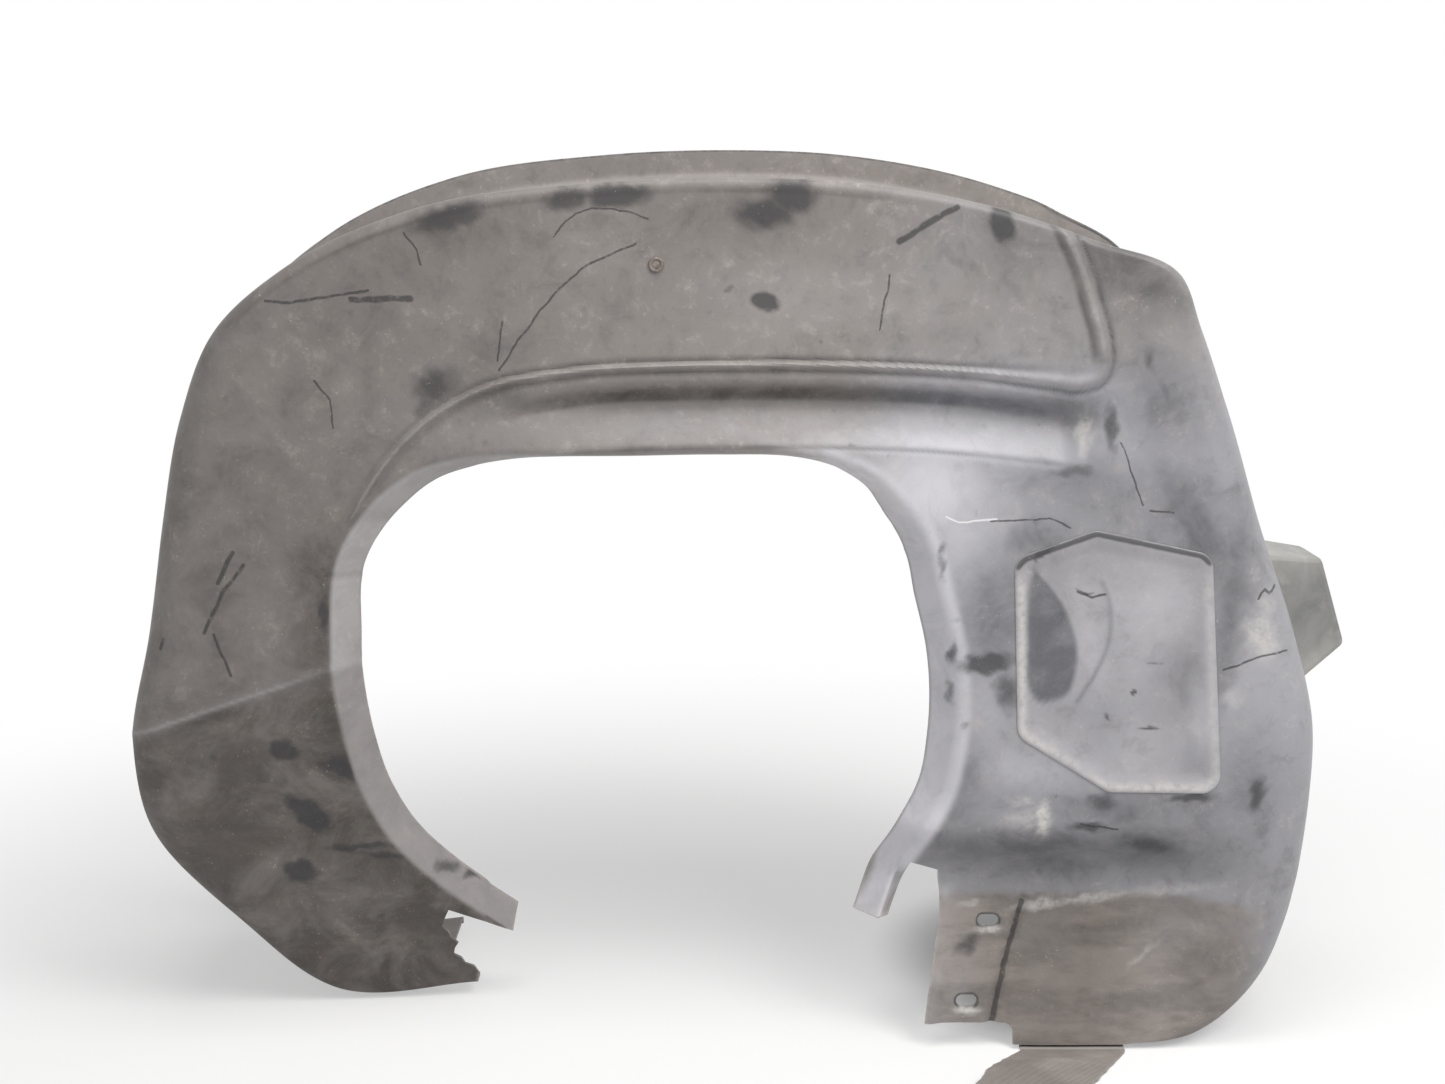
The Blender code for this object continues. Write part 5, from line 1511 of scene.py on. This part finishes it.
def build_fasteners(plastic, dusty_plastic, steel):
    for index, station in enumerate(RETAINER_STATIONS, start=1):
        build_retainer(index, station, plastic)
    for name, place, out in screw_places():
        label = f"bracket_screw_visual_{name}"
        screw = new_object(label, bmesh_data(label, turned(SCREW_PROFILE, place, out)), steel)
        cross_recess(screw, place, out, SCREW_TOP, -1.0)
        keep_piece(screw, "liner", f"bracket_screw_{name}")
    depth = float(wall_depth(*PLUG_PLACE))
    place = Vector((PLUG_PLACE[0], depth, PLUG_PLACE[1])) + Vector(SHIFT)
    mesh = turned(PLUG_PROFILE, place, Vector((0.0, 1.0, 0.0)))
    plug = new_object("plug_visual", bmesh_data("plug_visual", mesh), dusty_plastic)
    keep_piece(plug, "liner", "hole_plug")


class Paint:
    """A material's node tree, with short calls for the nodes used here."""

    def __init__(self, name):
        self.material = bpy.data.materials.new(name)
        self.material.use_nodes = True
        self.tree = self.material.node_tree
        self.shader = self.tree.nodes["Principled BSDF"]
        self.place = self.tree.nodes.new("ShaderNodeTexCoord").outputs["Object"]

    def join(self, value, socket):
        if isinstance(value, bpy.types.NodeSocket):
            self.tree.links.new(value, socket)
        elif hasattr(socket.default_value, "__len__") and not hasattr(value, "__len__"):
            socket.default_value = [value] * len(socket.default_value)
        elif hasattr(value, "__len__") and len(value) == 3 and len(socket.default_value) == 4:
            socket.default_value = (*value, 1.0)
        else:
            socket.default_value = value

    def attribute(self, name):
        node = self.tree.nodes.new("ShaderNodeAttribute")
        node.attribute_name = name
        return node.outputs["Fac"]

    def noise(self, scale, detail=4.0, roughness=0.6, stretch=None, distortion=0.0):
        place = self.place
        if stretch:
            node = self.tree.nodes.new("ShaderNodeMapping")
            node.inputs["Scale"].default_value = stretch
            self.tree.links.new(place, node.inputs["Vector"])
            place = node.outputs["Vector"]
        node = self.tree.nodes.new("ShaderNodeTexNoise")
        node.inputs["Scale"].default_value = scale
        node.inputs["Detail"].default_value = detail
        node.inputs["Roughness"].default_value = roughness
        node.inputs["Distortion"].default_value = distortion
        self.tree.links.new(place, node.inputs["Vector"])
        return node.outputs["Fac"]

    def math(self, operation, first, second=0.0, third=None):
        node = self.tree.nodes.new("ShaderNodeMath")
        node.operation = operation
        self.join(first, node.inputs[0])
        self.join(second, node.inputs[1])
        if third is not None:
            self.join(third, node.inputs[2])
        return node.outputs[0]

    def step(self, value, low, high, to_low=0.0, to_high=1.0):
        node = self.tree.nodes.new("ShaderNodeMapRange")
        node.interpolation_type = "SMOOTHSTEP"
        self.join(value, node.inputs["Value"])
        for key, number in (("From Min", low), ("From Max", high), ("To Min", to_low), ("To Max", to_high)):
            node.inputs[key].default_value = number
        return node.outputs["Result"]

    def mix(self, factor, first, second):
        node = self.tree.nodes.new("ShaderNodeMix")
        node.data_type = "RGBA"
        self.join(factor, node.inputs[0])
        self.join(first, node.inputs[6])
        self.join(second, node.inputs[7])
        return node.outputs[2]

    def over(self, colour, mask, strength, target):
        """A colour with another laid over it where a mask says."""
        return self.mix(self.math("MULTIPLY", mask, strength), colour, target)

    def broken(self, mask, noise, span):
        """A mask broken up by a noise."""
        return self.math("MULTIPLY", mask, self.step(noise, *span))

    def pointiness(self):
        return self.tree.nodes.new("ShaderNodeNewGeometry").outputs["Pointiness"]

    def bump(self, height, strength, distance, below=None):
        node = self.tree.nodes.new("ShaderNodeBump")
        node.inputs["Strength"].default_value = strength
        node.inputs["Distance"].default_value = distance
        self.join(height, node.inputs["Height"])
        if below is not None:
            self.join(below, node.inputs["Normal"])
        return node.outputs["Normal"]

    def finish(self, colour, roughness, normal, metallic=0.0, specular=0.5):
        self.join(colour, self.shader.inputs["Base Color"])
        self.join(roughness, self.shader.inputs["Roughness"])
        self.join(normal, self.shader.inputs["Normal"])
        self.shader.inputs["Metallic"].default_value = metallic
        self.shader.inputs["Specular IOR Level"].default_value = specular
        return self.material


def mark_group():
    """A node group: a soft-edged line between two points, as a mask."""
    tree = bpy.data.node_groups.new("line_mark", "ShaderNodeTree")
    for name in ("Point", "Start", "Run"):
        tree.interface.new_socket(name, in_out="INPUT", socket_type="NodeSocketVector")
    tree.interface.new_socket("Width", in_out="INPUT", socket_type="NodeSocketFloat")
    tree.interface.new_socket("Mask", in_out="OUTPUT", socket_type="NodeSocketFloat")
    source = tree.nodes.new("NodeGroupInput").outputs
    result = tree.nodes.new("NodeGroupOutput").inputs

    def vector(operation, first, second):
        node = tree.nodes.new("ShaderNodeVectorMath")
        node.operation = operation
        tree.links.new(first, node.inputs[0])
        if operation == "SCALE":
            tree.links.new(second, node.inputs["Scale"])
        elif second is not None:
            tree.links.new(second, node.inputs[1])
        return node.outputs["Value"] if operation in ("DOT_PRODUCT", "LENGTH") else node.outputs["Vector"]

    def number(operation, first, second, clamp=False):
        node = tree.nodes.new("ShaderNodeMath")
        node.operation = operation
        node.use_clamp = clamp
        tree.links.new(first, node.inputs[0])
        tree.links.new(second, node.inputs[1])
        return node.outputs[0]

    offset = vector("SUBTRACT", source["Point"], source["Start"])
    run = source["Run"]
    along = number("DIVIDE", vector("DOT_PRODUCT", offset, run), vector("DOT_PRODUCT", run, run), clamp=True)
    gap = vector("LENGTH", vector("SUBTRACT", offset, vector("SCALE", run, along)), None)
    ratio = number("DIVIDE", gap, source["Width"])
    ramp = tree.nodes.new("ShaderNodeMapRange")
    ramp.interpolation_type = "SMOOTHSTEP"
    for key, value in (("From Min", 1.0), ("From Max", 0.45), ("To Min", 0.0), ("To Max", 1.0)):
        ramp.inputs[key].default_value = value
    tree.links.new(ratio, ramp.inputs["Value"])
    tree.links.new(ramp.outputs["Result"], result["Mask"])
    return tree


LINE_MARK = mark_group()
LINE_STEPS = 2
LINE_WOBBLE = 0.0035
PALE_LINE_WOBBLE = 0.0030
LINE_NOISE = {"Scale": 85.0, "Detail": 3.0}

# Base greys; the paler cool grey on the right is partly the plastic's cleaner tone and partly painted sheen
WARM_GREY = (0.262, 0.241, 0.228)
COOL_GREY = (0.310, 0.308, 0.330)
DUST_BROWN = (0.190, 0.166, 0.150)
# Worn plastic's noises: scale, detail, roughness and distortion
WORN_NOISES = {
    "broad": (6.0, 5.0, 0.60, 0.5),
    "patchy": (24.0, 7.0, 0.70, 0.5),
    "cloudy": (62.0, 6.0, 0.68, 0.3),
    "fine": (170.0, 4.0, 0.65, 0.0),
    "speck": (640.0, 2.0, 0.5, 0.0),
}
# Its mottling: which noise, the span of its values, the strength, and how bright beside the base colour
WORN_MOTTLE = (
    ("broad", (0.36, 0.68), 0.30, 0.55),
    ("patchy", (0.52, 0.72), 0.42, 0.40),
    ("cloudy", (0.52, 0.76), 0.44, 1.80),
    ("cloudy", (0.48, 0.30), 0.34, 0.48),
    ("fine", (0.60, 0.74), 0.30, 2.00),
)
# Layers over that: strength and colour. On the shell the pale layer is painted highlight and sheen, the stain
# layer also carries painted shade lines and the rub layer painted highlights
WORN_LAYERS = {
    "pale": (0.85, (0.66, 0.65, 0.69)),
    "stain_and_shade": (0.80, (0.032, 0.032, 0.035)),
    "rub_and_highlight": (0.72, (0.62, 0.60, 0.58)),
    "edge": (0.50, (0.50, 0.48, 0.46)),
    "grain": (0.40, (0.55, 0.52, 0.47)),
    "mark": (0.76, (0.026, 0.026, 0.027)),
    "pale_mark": (0.70, (0.85, 0.84, 0.86)),
}
# How noise breaks up its masks: the span of the noise, and the shares left at its ends
PALE_BREAK = (0.28, 0.62, 0.55, 1.0)
DUST_BREAK = (0.30, 0.62, 0.40, 1.0)
DARK_BREAK = (0.30, 0.62, 0.50, 1.0)
RUB_AND_HIGHLIGHT_BREAK = (0.28, 0.60, 0.30, 1.0)
EDGE_BREAK = (0.30, 0.62, 0.25, 1.0)
MARK_BREAK = (0.28, 0.50, 0.35, 1.0)
COOL_PATCHES = 0.5
COOL_SPAN = (0.40, 1.10)
DUST_STREAK = (46.0, 5.0, 0.62)
DUST_STREAK_SPAN = (0.40, 0.66)
DUST_FACTORS = (0.72, 1.45)
DUST_STRENGTH = 0.75
ALONG_X = (0.28, 1.0, 1.0)
# Strength and colours of the painted shade layer
DARK_STRENGTH = 0.85
DARK_WARM = (0.040, 0.032, 0.026)
DARK_COOL = (0.075, 0.078, 0.090)
# Stain mask settings; that mask also carries painted shade lines
STAIN_CLOUDS = 0.55
STAIN_OFFSET = -0.40
STAIN_GRAIN = 0.25
STAIN_EDGE = (0.20, 0.78)
STAIN_START = (0.03, 0.30)
WORN_EDGE = (0.515, 0.60)
GRAIN_SPAN = (0.64, 0.74)
GRAIN_CLOUDS = (0.45, 0.65)
WORN_ROUGHNESS = (0.25, 0.75, 0.42, 0.66)
COOL_ROUGHNESS = -0.10
DUST_ROUGHNESS = 0.22
FINE_BUMP = 0.6
SPECK_BUMP = 0.25
GRAIN_BUMP = (0.30, 0.0006)
PATCH_BUMP = (0.22, 0.0016)
WORN_SPECULAR = 0.38


def tinted(colour, factor):
    return [factor * value for value in colour]


def line_marks(paint, marks, wobble):
    """A mask of all the lines in a list, wandering a little from their straight course."""
    tree = paint.tree
    noise = tree.nodes.new("ShaderNodeTexNoise")
    for key, value in LINE_NOISE.items():
        noise.inputs[key].default_value = value
    tree.links.new(paint.place, noise.inputs["Vector"])
    shift = tree.nodes.new("ShaderNodeVectorMath")
    shift.operation = "MULTIPLY_ADD"
    tree.links.new(noise.outputs["Color"], shift.inputs[0])
    shift.inputs[1].default_value = (wobble, wobble, wobble)
    tree.links.new(paint.place, shift.inputs[2])
    flat = tree.nodes.new("ShaderNodeVectorMath")
    flat.operation = "MULTIPLY"
    tree.links.new(shift.outputs["Vector"], flat.inputs[0])
    flat.inputs[1].default_value = (1.0, 0.0, 1.0)
    total = None
    offset = Vector((SHIFT[0], 0.0, SHIFT[2])) + Vector((0.5 * wobble, 0.0, 0.5 * wobble))
    for points, width in marks:
        path = fine_path(points, LINE_STEPS) if len(points) > 3 else points
        for (x_a, z_a), (x_b, z_b) in zip(path, path[1:]):
            node = tree.nodes.new("ShaderNodeGroup")
            node.node_tree = LINE_MARK
            tree.links.new(flat.outputs["Vector"], node.inputs["Point"])
            node.inputs["Start"].default_value = Vector((x_a, 0.0, z_a)) + offset
            node.inputs["Run"].default_value = (x_b - x_a, 0.0, z_b - z_a)
            node.inputs["Width"].default_value = width
            mask = node.outputs["Mask"]
            total = mask if total is None else paint.math("MAXIMUM", total, mask)
    return total


def worn_plastic(name, lines, pale_lines=()):
    """Old moulded plastic: mottled grey, stains, dust, scratches and pale worn edges, with painted shade and
    painted highlights laid over.
    """
    paint = Paint(name)
    marks = line_marks(paint, lines, LINE_WOBBLE)
    marks = paint.math("MULTIPLY", marks, paint.attribute("front"))
    pale_marks = line_marks(paint, pale_lines, PALE_LINE_WOBBLE) if pale_lines else None
    noises = {}
    for key, (scale, detail, roughness, distortion) in WORN_NOISES.items():
        noises[key] = paint.noise(scale, detail, roughness, distortion=distortion)
    patchy, cloudy, fine, speck = noises["patchy"], noises["cloudy"], noises["fine"], noises["speck"]
    cool_mask = paint.math("MULTIPLY_ADD", patchy, COOL_PATCHES, paint.attribute("cool"))
    cool_mask = paint.step(cool_mask, *COOL_SPAN)
    colour = paint.mix(cool_mask, WARM_GREY, COOL_GREY)
    for key, span, strength, factor in WORN_MOTTLE:
        colour = paint.over(colour, paint.step(noises[key], *span), strength, tinted(WARM_GREY, factor))
    # Paler zones: painted highlights and sheen on the shell
    pale = paint.broken(paint.attribute("pale"), patchy, PALE_BREAK)
    colour = paint.over(colour, pale, *WORN_LAYERS["pale"])
    dust_mask = paint.broken(paint.attribute("dust"), patchy, DUST_BREAK)
    streak = paint.noise(*DUST_STREAK, stretch=ALONG_X)
    streak = paint.step(streak, *DUST_STREAK_SPAN)
    streaked = paint.mix(streak, *(tinted(DUST_BROWN, factor) for factor in DUST_FACTORS))
    colour = paint.over(colour, dust_mask, DUST_STRENGTH, streaked)
    # Painted shade
    dark = paint.broken(paint.attribute("dark"), patchy, DARK_BREAK)
    colour = paint.over(colour, dark, DARK_STRENGTH, paint.mix(cool_mask, DARK_WARM, DARK_COOL))
    # Stains, with the painted shade lines that share their mask
    stain_and_shade = paint.attribute("stain_and_shade")
    edges = paint.math("MULTIPLY_ADD", cloudy, STAIN_CLOUDS, paint.math("ADD", stain_and_shade, STAIN_OFFSET))
    edges = paint.math("MULTIPLY_ADD", fine, STAIN_GRAIN, edges)
    stain_and_shade = paint.math("MULTIPLY", paint.step(edges, *STAIN_EDGE), paint.step(stain_and_shade, *STAIN_START))
    colour = paint.over(colour, stain_and_shade, *WORN_LAYERS["stain_and_shade"])
    # Rubs and wear, with painted highlights
    rub_and_highlight = paint.broken(paint.attribute("rub_and_highlight"), fine, RUB_AND_HIGHLIGHT_BREAK)
    colour = paint.over(colour, rub_and_highlight, *WORN_LAYERS["rub_and_highlight"])
    edge = paint.broken(paint.step(paint.pointiness(), *WORN_EDGE), fine, EDGE_BREAK)
    colour = paint.over(colour, edge, *WORN_LAYERS["edge"])
    grains = paint.math("MULTIPLY", paint.step(speck, *GRAIN_SPAN), paint.step(cloudy, *GRAIN_CLOUDS))
    colour = paint.over(colour, grains, *WORN_LAYERS["grain"])
    marks = paint.broken(marks, fine, MARK_BREAK)
    colour = paint.over(colour, marks, *WORN_LAYERS["mark"])
    if pale_marks:
        colour = paint.over(colour, pale_marks, *WORN_LAYERS["pale_mark"])
    roughness = paint.step(cloudy, *WORN_ROUGHNESS)
    roughness = paint.math("MULTIPLY_ADD", paint.attribute("cool"), COOL_ROUGHNESS, roughness)
    roughness = paint.math("MULTIPLY_ADD", paint.attribute("dust"), DUST_ROUGHNESS, roughness)
    grain = paint.math("MULTIPLY_ADD", fine, FINE_BUMP, paint.math("MULTIPLY", speck, SPECK_BUMP))
    normal = paint.bump(grain, *GRAIN_BUMP)
    normal = paint.bump(patchy, *PATCH_BUMP, normal)
    return paint.finish(colour, roughness, normal, specular=WORN_SPECULAR)


# Plainer materials. Noises: scale, detail, roughness, stretch and distortion. Base: a noise, its span and the
# two colours that it mixes. Layers: masks (a noise or the worn edges, and a span), strength and colour.
# Roughness: a noise and its span. Bump: a noise, strength and distance.
FASTENER = {
    "noises": {"patchy": (300.0, 5.0, 0.65), "fine": (1400.0, 3.0, 0.6)},
    "base": ("patchy", (0.35, 0.70), (0.022, 0.022, 0.023), (0.055, 0.052, 0.048)),
    "layers": (
        ([("edge", (0.52, 0.62))], 0.45, (0.16, 0.155, 0.15)),
        ([("fine", (0.58, 0.72))], 0.35, (0.20, 0.18, 0.16)),
    ),
    "roughness": ("patchy", (0.2, 0.8, 0.35, 0.60)),
    "bump": ("fine", 0.25, 0.0003),
}
PLUG = {**FASTENER, "base": ("patchy", (0.35, 0.70), (0.130, 0.105, 0.088), (0.270, 0.235, 0.210))}
SCREW = {
    "noises": {"patchy": (420.0, 5.0, 0.65), "fine": (1800.0, 3.0, 0.6)},
    "base": ("patchy", (0.52, 0.68), (0.50, 0.49, 0.47), (0.20, 0.11, 0.06)),
    "layers": (),
    "roughness": ("patchy", (0.40, 0.70, 0.28, 0.75)),
    "bump": ("fine", 0.35, 0.0003),
    "metallic": 0.85,
}
RUBBER = {
    "noises": {
        "broad": (22.0, 5.0, 0.6, None, 0.4),
        "fine": (240.0, 5.0, 0.68),
        "streak": (60.0, 5.0, 0.6, (0.25, 1.0, 1.0)),
    },
    "base": ("broad", (0.30, 0.70), (0.200, 0.178, 0.164), (0.275, 0.250, 0.234)),
    "layers": (
        ([("streak", (0.55, 0.78))], 0.4, (0.38, 0.355, 0.335)),
        ([("fine", (0.60, 0.75))], 0.4, (0.16, 0.14, 0.13)),
        ([("edge", (0.52, 0.62))], 0.35, (0.50, 0.47, 0.44)),
    ),
    "roughness": ("fine", (0.2, 0.8, 0.62, 0.85)),
    "bump": ("fine", 0.35, 0.0006),
}
BRACKET = {
    "noises": {
        "broad": (30.0, 5.0, 0.62, None, 0.5),
        "fine": (260.0, 5.0, 0.66),
        "streak": (70.0, 5.0, 0.6, (1.0, 0.25, 1.0)),
    },
    "base": ("broad", (0.30, 0.70), (0.098, 0.102, 0.098), (0.190, 0.190, 0.187)),
    "layers": (
        ([("streak", (0.55, 0.75))], 0.5, (0.30, 0.29, 0.27)),
        ([("edge", (0.515, 0.60))], 0.6, (0.55, 0.53, 0.50)),
        ([("broad", (0.60, 0.75)), ("fine", (0.35, 0.65))], 0.7, (0.045, 0.045, 0.048)),
    ),
    "roughness": ("fine", (0.2, 0.8, 0.45, 0.75)),
    "bump": ("fine", 0.3, 0.0006),
}


def plain_material(name, recipe):
    """A material made from one of the lists above."""
    paint = Paint(name)
    noises = {key: paint.noise(*settings) for key, settings in recipe["noises"].items()}
    key, span, first, second = recipe["base"]
    colour = paint.mix(paint.step(noises[key], *span), first, second)
    for masks, strength, target in recipe["layers"]:
        total = None
        for key, span in masks:
            mask = paint.step(paint.pointiness() if key == "edge" else noises[key], *span)
            total = mask if total is None else paint.math("MULTIPLY", total, mask)
        colour = paint.over(colour, total, strength, target)
    key, span = recipe["roughness"]
    roughness = paint.step(noises[key], *span)
    key, strength, distance = recipe["bump"]
    normal = paint.bump(noises[key], strength, distance)
    return paint.finish(colour, roughness, normal, recipe.get("metallic", 0.0))


def carry_over(node, material):
    """A CAD node that stays, with a better material."""
    data = frame["nodes"][node].data
    data.materials.clear()
    data.materials.append(material)


# Floor: size, colour, and the spans of the plain white far out and round the clear place inside the liner
FLOOR_SEGMENTS = 96
FLOOR_RADIUS = 14.0
FLOOR_GREY = (0.92, 0.92, 0.92, 1.0)
FLOOR_FAR = (0.45, 1.15, 0.45, 1.0)
FLOOR_CLEAR = (0.60, 1.10)
FLOOR_CLEAR_PLACE = (0.27, 0.10)
FLOOR_CLEAR_SIZE = (0.15, 0.18)
WHITE = (1.0, 1.0, 1.0, 1.0)
WORLD_STRENGTH = 0.30
# Lamps: name, place, target, size, power and colour
LAMPS = (
    ("key", (0.95, -1.05, 1.65), (0.10, 0.0, 0.30), (0.9, 0.9), 21.0, (1.0, 0.990, 0.975)),
    ("top", (0.05, -0.55, 2.00), (0.0, 0.0, 0.35), (1.3, 0.8), 19.0, (1.0, 0.99, 0.98)),
    ("fill", (-1.7, -1.5, 0.9), (0.0, 0.0, 0.3), (1.2, 1.2), 3.0, (0.97, 0.985, 1.0)),
    ("back", (2.1, 0.95, 1.25), (0.0, 0.0, 0.30), (0.9, 0.9), 6.0, (1.0, 1.0, 1.0)),
)


def add_node(tree, kind, inputs, **settings):
    """A node with its settings, and with its inputs linked or set."""
    node = tree.nodes.new(kind)
    for key, value in settings.items():
        setattr(node, key, value)
    for key, value in inputs.items():
        if isinstance(value, bpy.types.NodeSocket):
            tree.links.new(value, node.inputs[key])
        else:
            node.inputs[key].default_value = value
    return node


def smooth_range(tree, value, low, high, to_low=0.0, to_high=1.0):
    inputs = {"Value": value, "From Min": low, "From Max": high, "To Min": to_low, "To Max": to_high}
    return add_node(tree, "ShaderNodeMapRange", inputs, interpolation_type="SMOOTHSTEP").outputs["Result"]


def seen_rays(tree):
    """1 for rays that show the background: from the camera, in reflections or through glass."""
    path = tree.nodes.new("ShaderNodeLightPath").outputs
    total = path["Is Camera Ray"]
    for name in ("Is Glossy Ray", "Is Transmission Ray"):
        both = {0: total, 1: path[name]}
        total = add_node(tree, "ShaderNodeMath", both, operation="ADD", use_clamp=True).outputs[0]
    return total


def build_floor():
    """A pale floor that keeps the object's shadow and turns to plain white further out."""
    mesh = bmesh.new()
    bmesh.ops.create_circle(mesh, cap_ends=True, segments=FLOOR_SEGMENTS, radius=FLOOR_RADIUS)
    floor = new_object("floor", bmesh_data("floor", mesh))
    made = bpy.data.materials.new("floor_white")
    made.use_nodes = True
    tree = made.node_tree
    tree.nodes.remove(tree.nodes["Principled BSDF"])
    diffuse = add_node(tree, "ShaderNodeBsdfDiffuse", {"Color": FLOOR_GREY})
    white = add_node(tree, "ShaderNodeEmission", {"Strength": 1.0})
    place = tree.nodes.new("ShaderNodeTexCoord").outputs["Object"]
    length = add_node(tree, "ShaderNodeVectorMath", {0: place}, operation="LENGTH")
    far = smooth_range(tree, length.outputs["Value"], *FLOOR_FAR)
    scale = [1.0 / size for size in FLOOR_CLEAR_SIZE]
    offset = [-middle / size for middle, size in zip(FLOOR_CLEAR_PLACE, FLOOR_CLEAR_SIZE)]
    moved = {0: place, 1: (*scale, 0.0), 2: (*offset, 0.0)}
    inside = add_node(tree, "ShaderNodeVectorMath", moved, operation="MULTIPLY_ADD")
    reach = add_node(tree, "ShaderNodeVectorMath", {0: inside.outputs["Vector"]}, operation="LENGTH")
    clear = smooth_range(tree, reach.outputs["Value"], *FLOOR_CLEAR)
    share = seen_rays(tree)
    for part in (far, clear):
        share = add_node(tree, "ShaderNodeMath", {0: share, 1: part}, operation="MULTIPLY").outputs[0]
    blend = add_node(tree, "ShaderNodeMixShader", {0: share, 1: diffuse.outputs[0], 2: white.outputs[0]})
    tree.links.new(blend.outputs[0], tree.nodes["Material Output"].inputs["Surface"])
    floor.data.materials.append(made)


def build_world():
    world = bpy.data.worlds.new("studio")
    bpy.context.scene.world = world
    world.use_nodes = True
    tree = world.node_tree
    soft = tree.nodes["Background"]
    soft.inputs["Color"].default_value = WHITE
    soft.inputs["Strength"].default_value = WORLD_STRENGTH
    white = add_node(tree, "ShaderNodeBackground", {"Color": WHITE, "Strength": 1.0})
    shaders = {0: seen_rays(tree), 1: soft.outputs[0], 2: white.outputs[0]}
    blend = add_node(tree, "ShaderNodeMixShader", shaders)
    tree.links.new(blend.outputs[0], tree.nodes["World Output"].inputs["Surface"])


def lamp(name, place, target, size, power, colour):
    data = bpy.data.lights.new(name, "AREA")
    data.shape = "RECTANGLE"
    data.size, data.size_y = size
    data.energy = power
    data.color = colour
    made = bpy.data.objects.new(name, data)
    made.location = place
    made.rotation_euler = (Vector(target) - Vector(place)).to_track_quat("-Z", "Y").to_euler()
    bpy.context.scene.collection.objects.link(made)


def build_camera():
    data = bpy.data.cameras.new("camera")
    data.lens = CAMERA_LENS
    data.sensor_width = CAMERA_SENSOR
    made = bpy.data.objects.new("camera", data)
    made.location = Vector(CAMERA_PLACE) + Vector(SHIFT)
    made.rotation_euler = (CAMERA_TILT, 0.0, 0.0)
    bpy.context.scene.collection.objects.link(made)
    bpy.context.scene.camera = made


def main():
    scene = bpy.context.scene
    scene.view_settings.view_transform = "Standard"
    build_camera()
    build_world()
    build_floor()
    for settings in LAMPS:
        lamp(*settings)
    build_shell(worn_plastic("shell_plastic_visual", SCRATCHES, PALE_LINES))
    build_cover(worn_plastic("cover_plastic_visual", COVER_SCRATCHES))
    build_fasteners(
        plain_material("fastener_plastic_visual", FASTENER),
        plain_material("plug_plastic_visual", PLUG),
        plain_material("screw_steel_visual", SCREW),
    )
    rubber = plain_material("flap_rubber_visual", RUBBER)
    build_flap(rubber)
    carry_over("side_bracket", plain_material("bracket_plastic_visual", BRACKET))
    carry_over("flap_fixing_strip", rubber)


main()
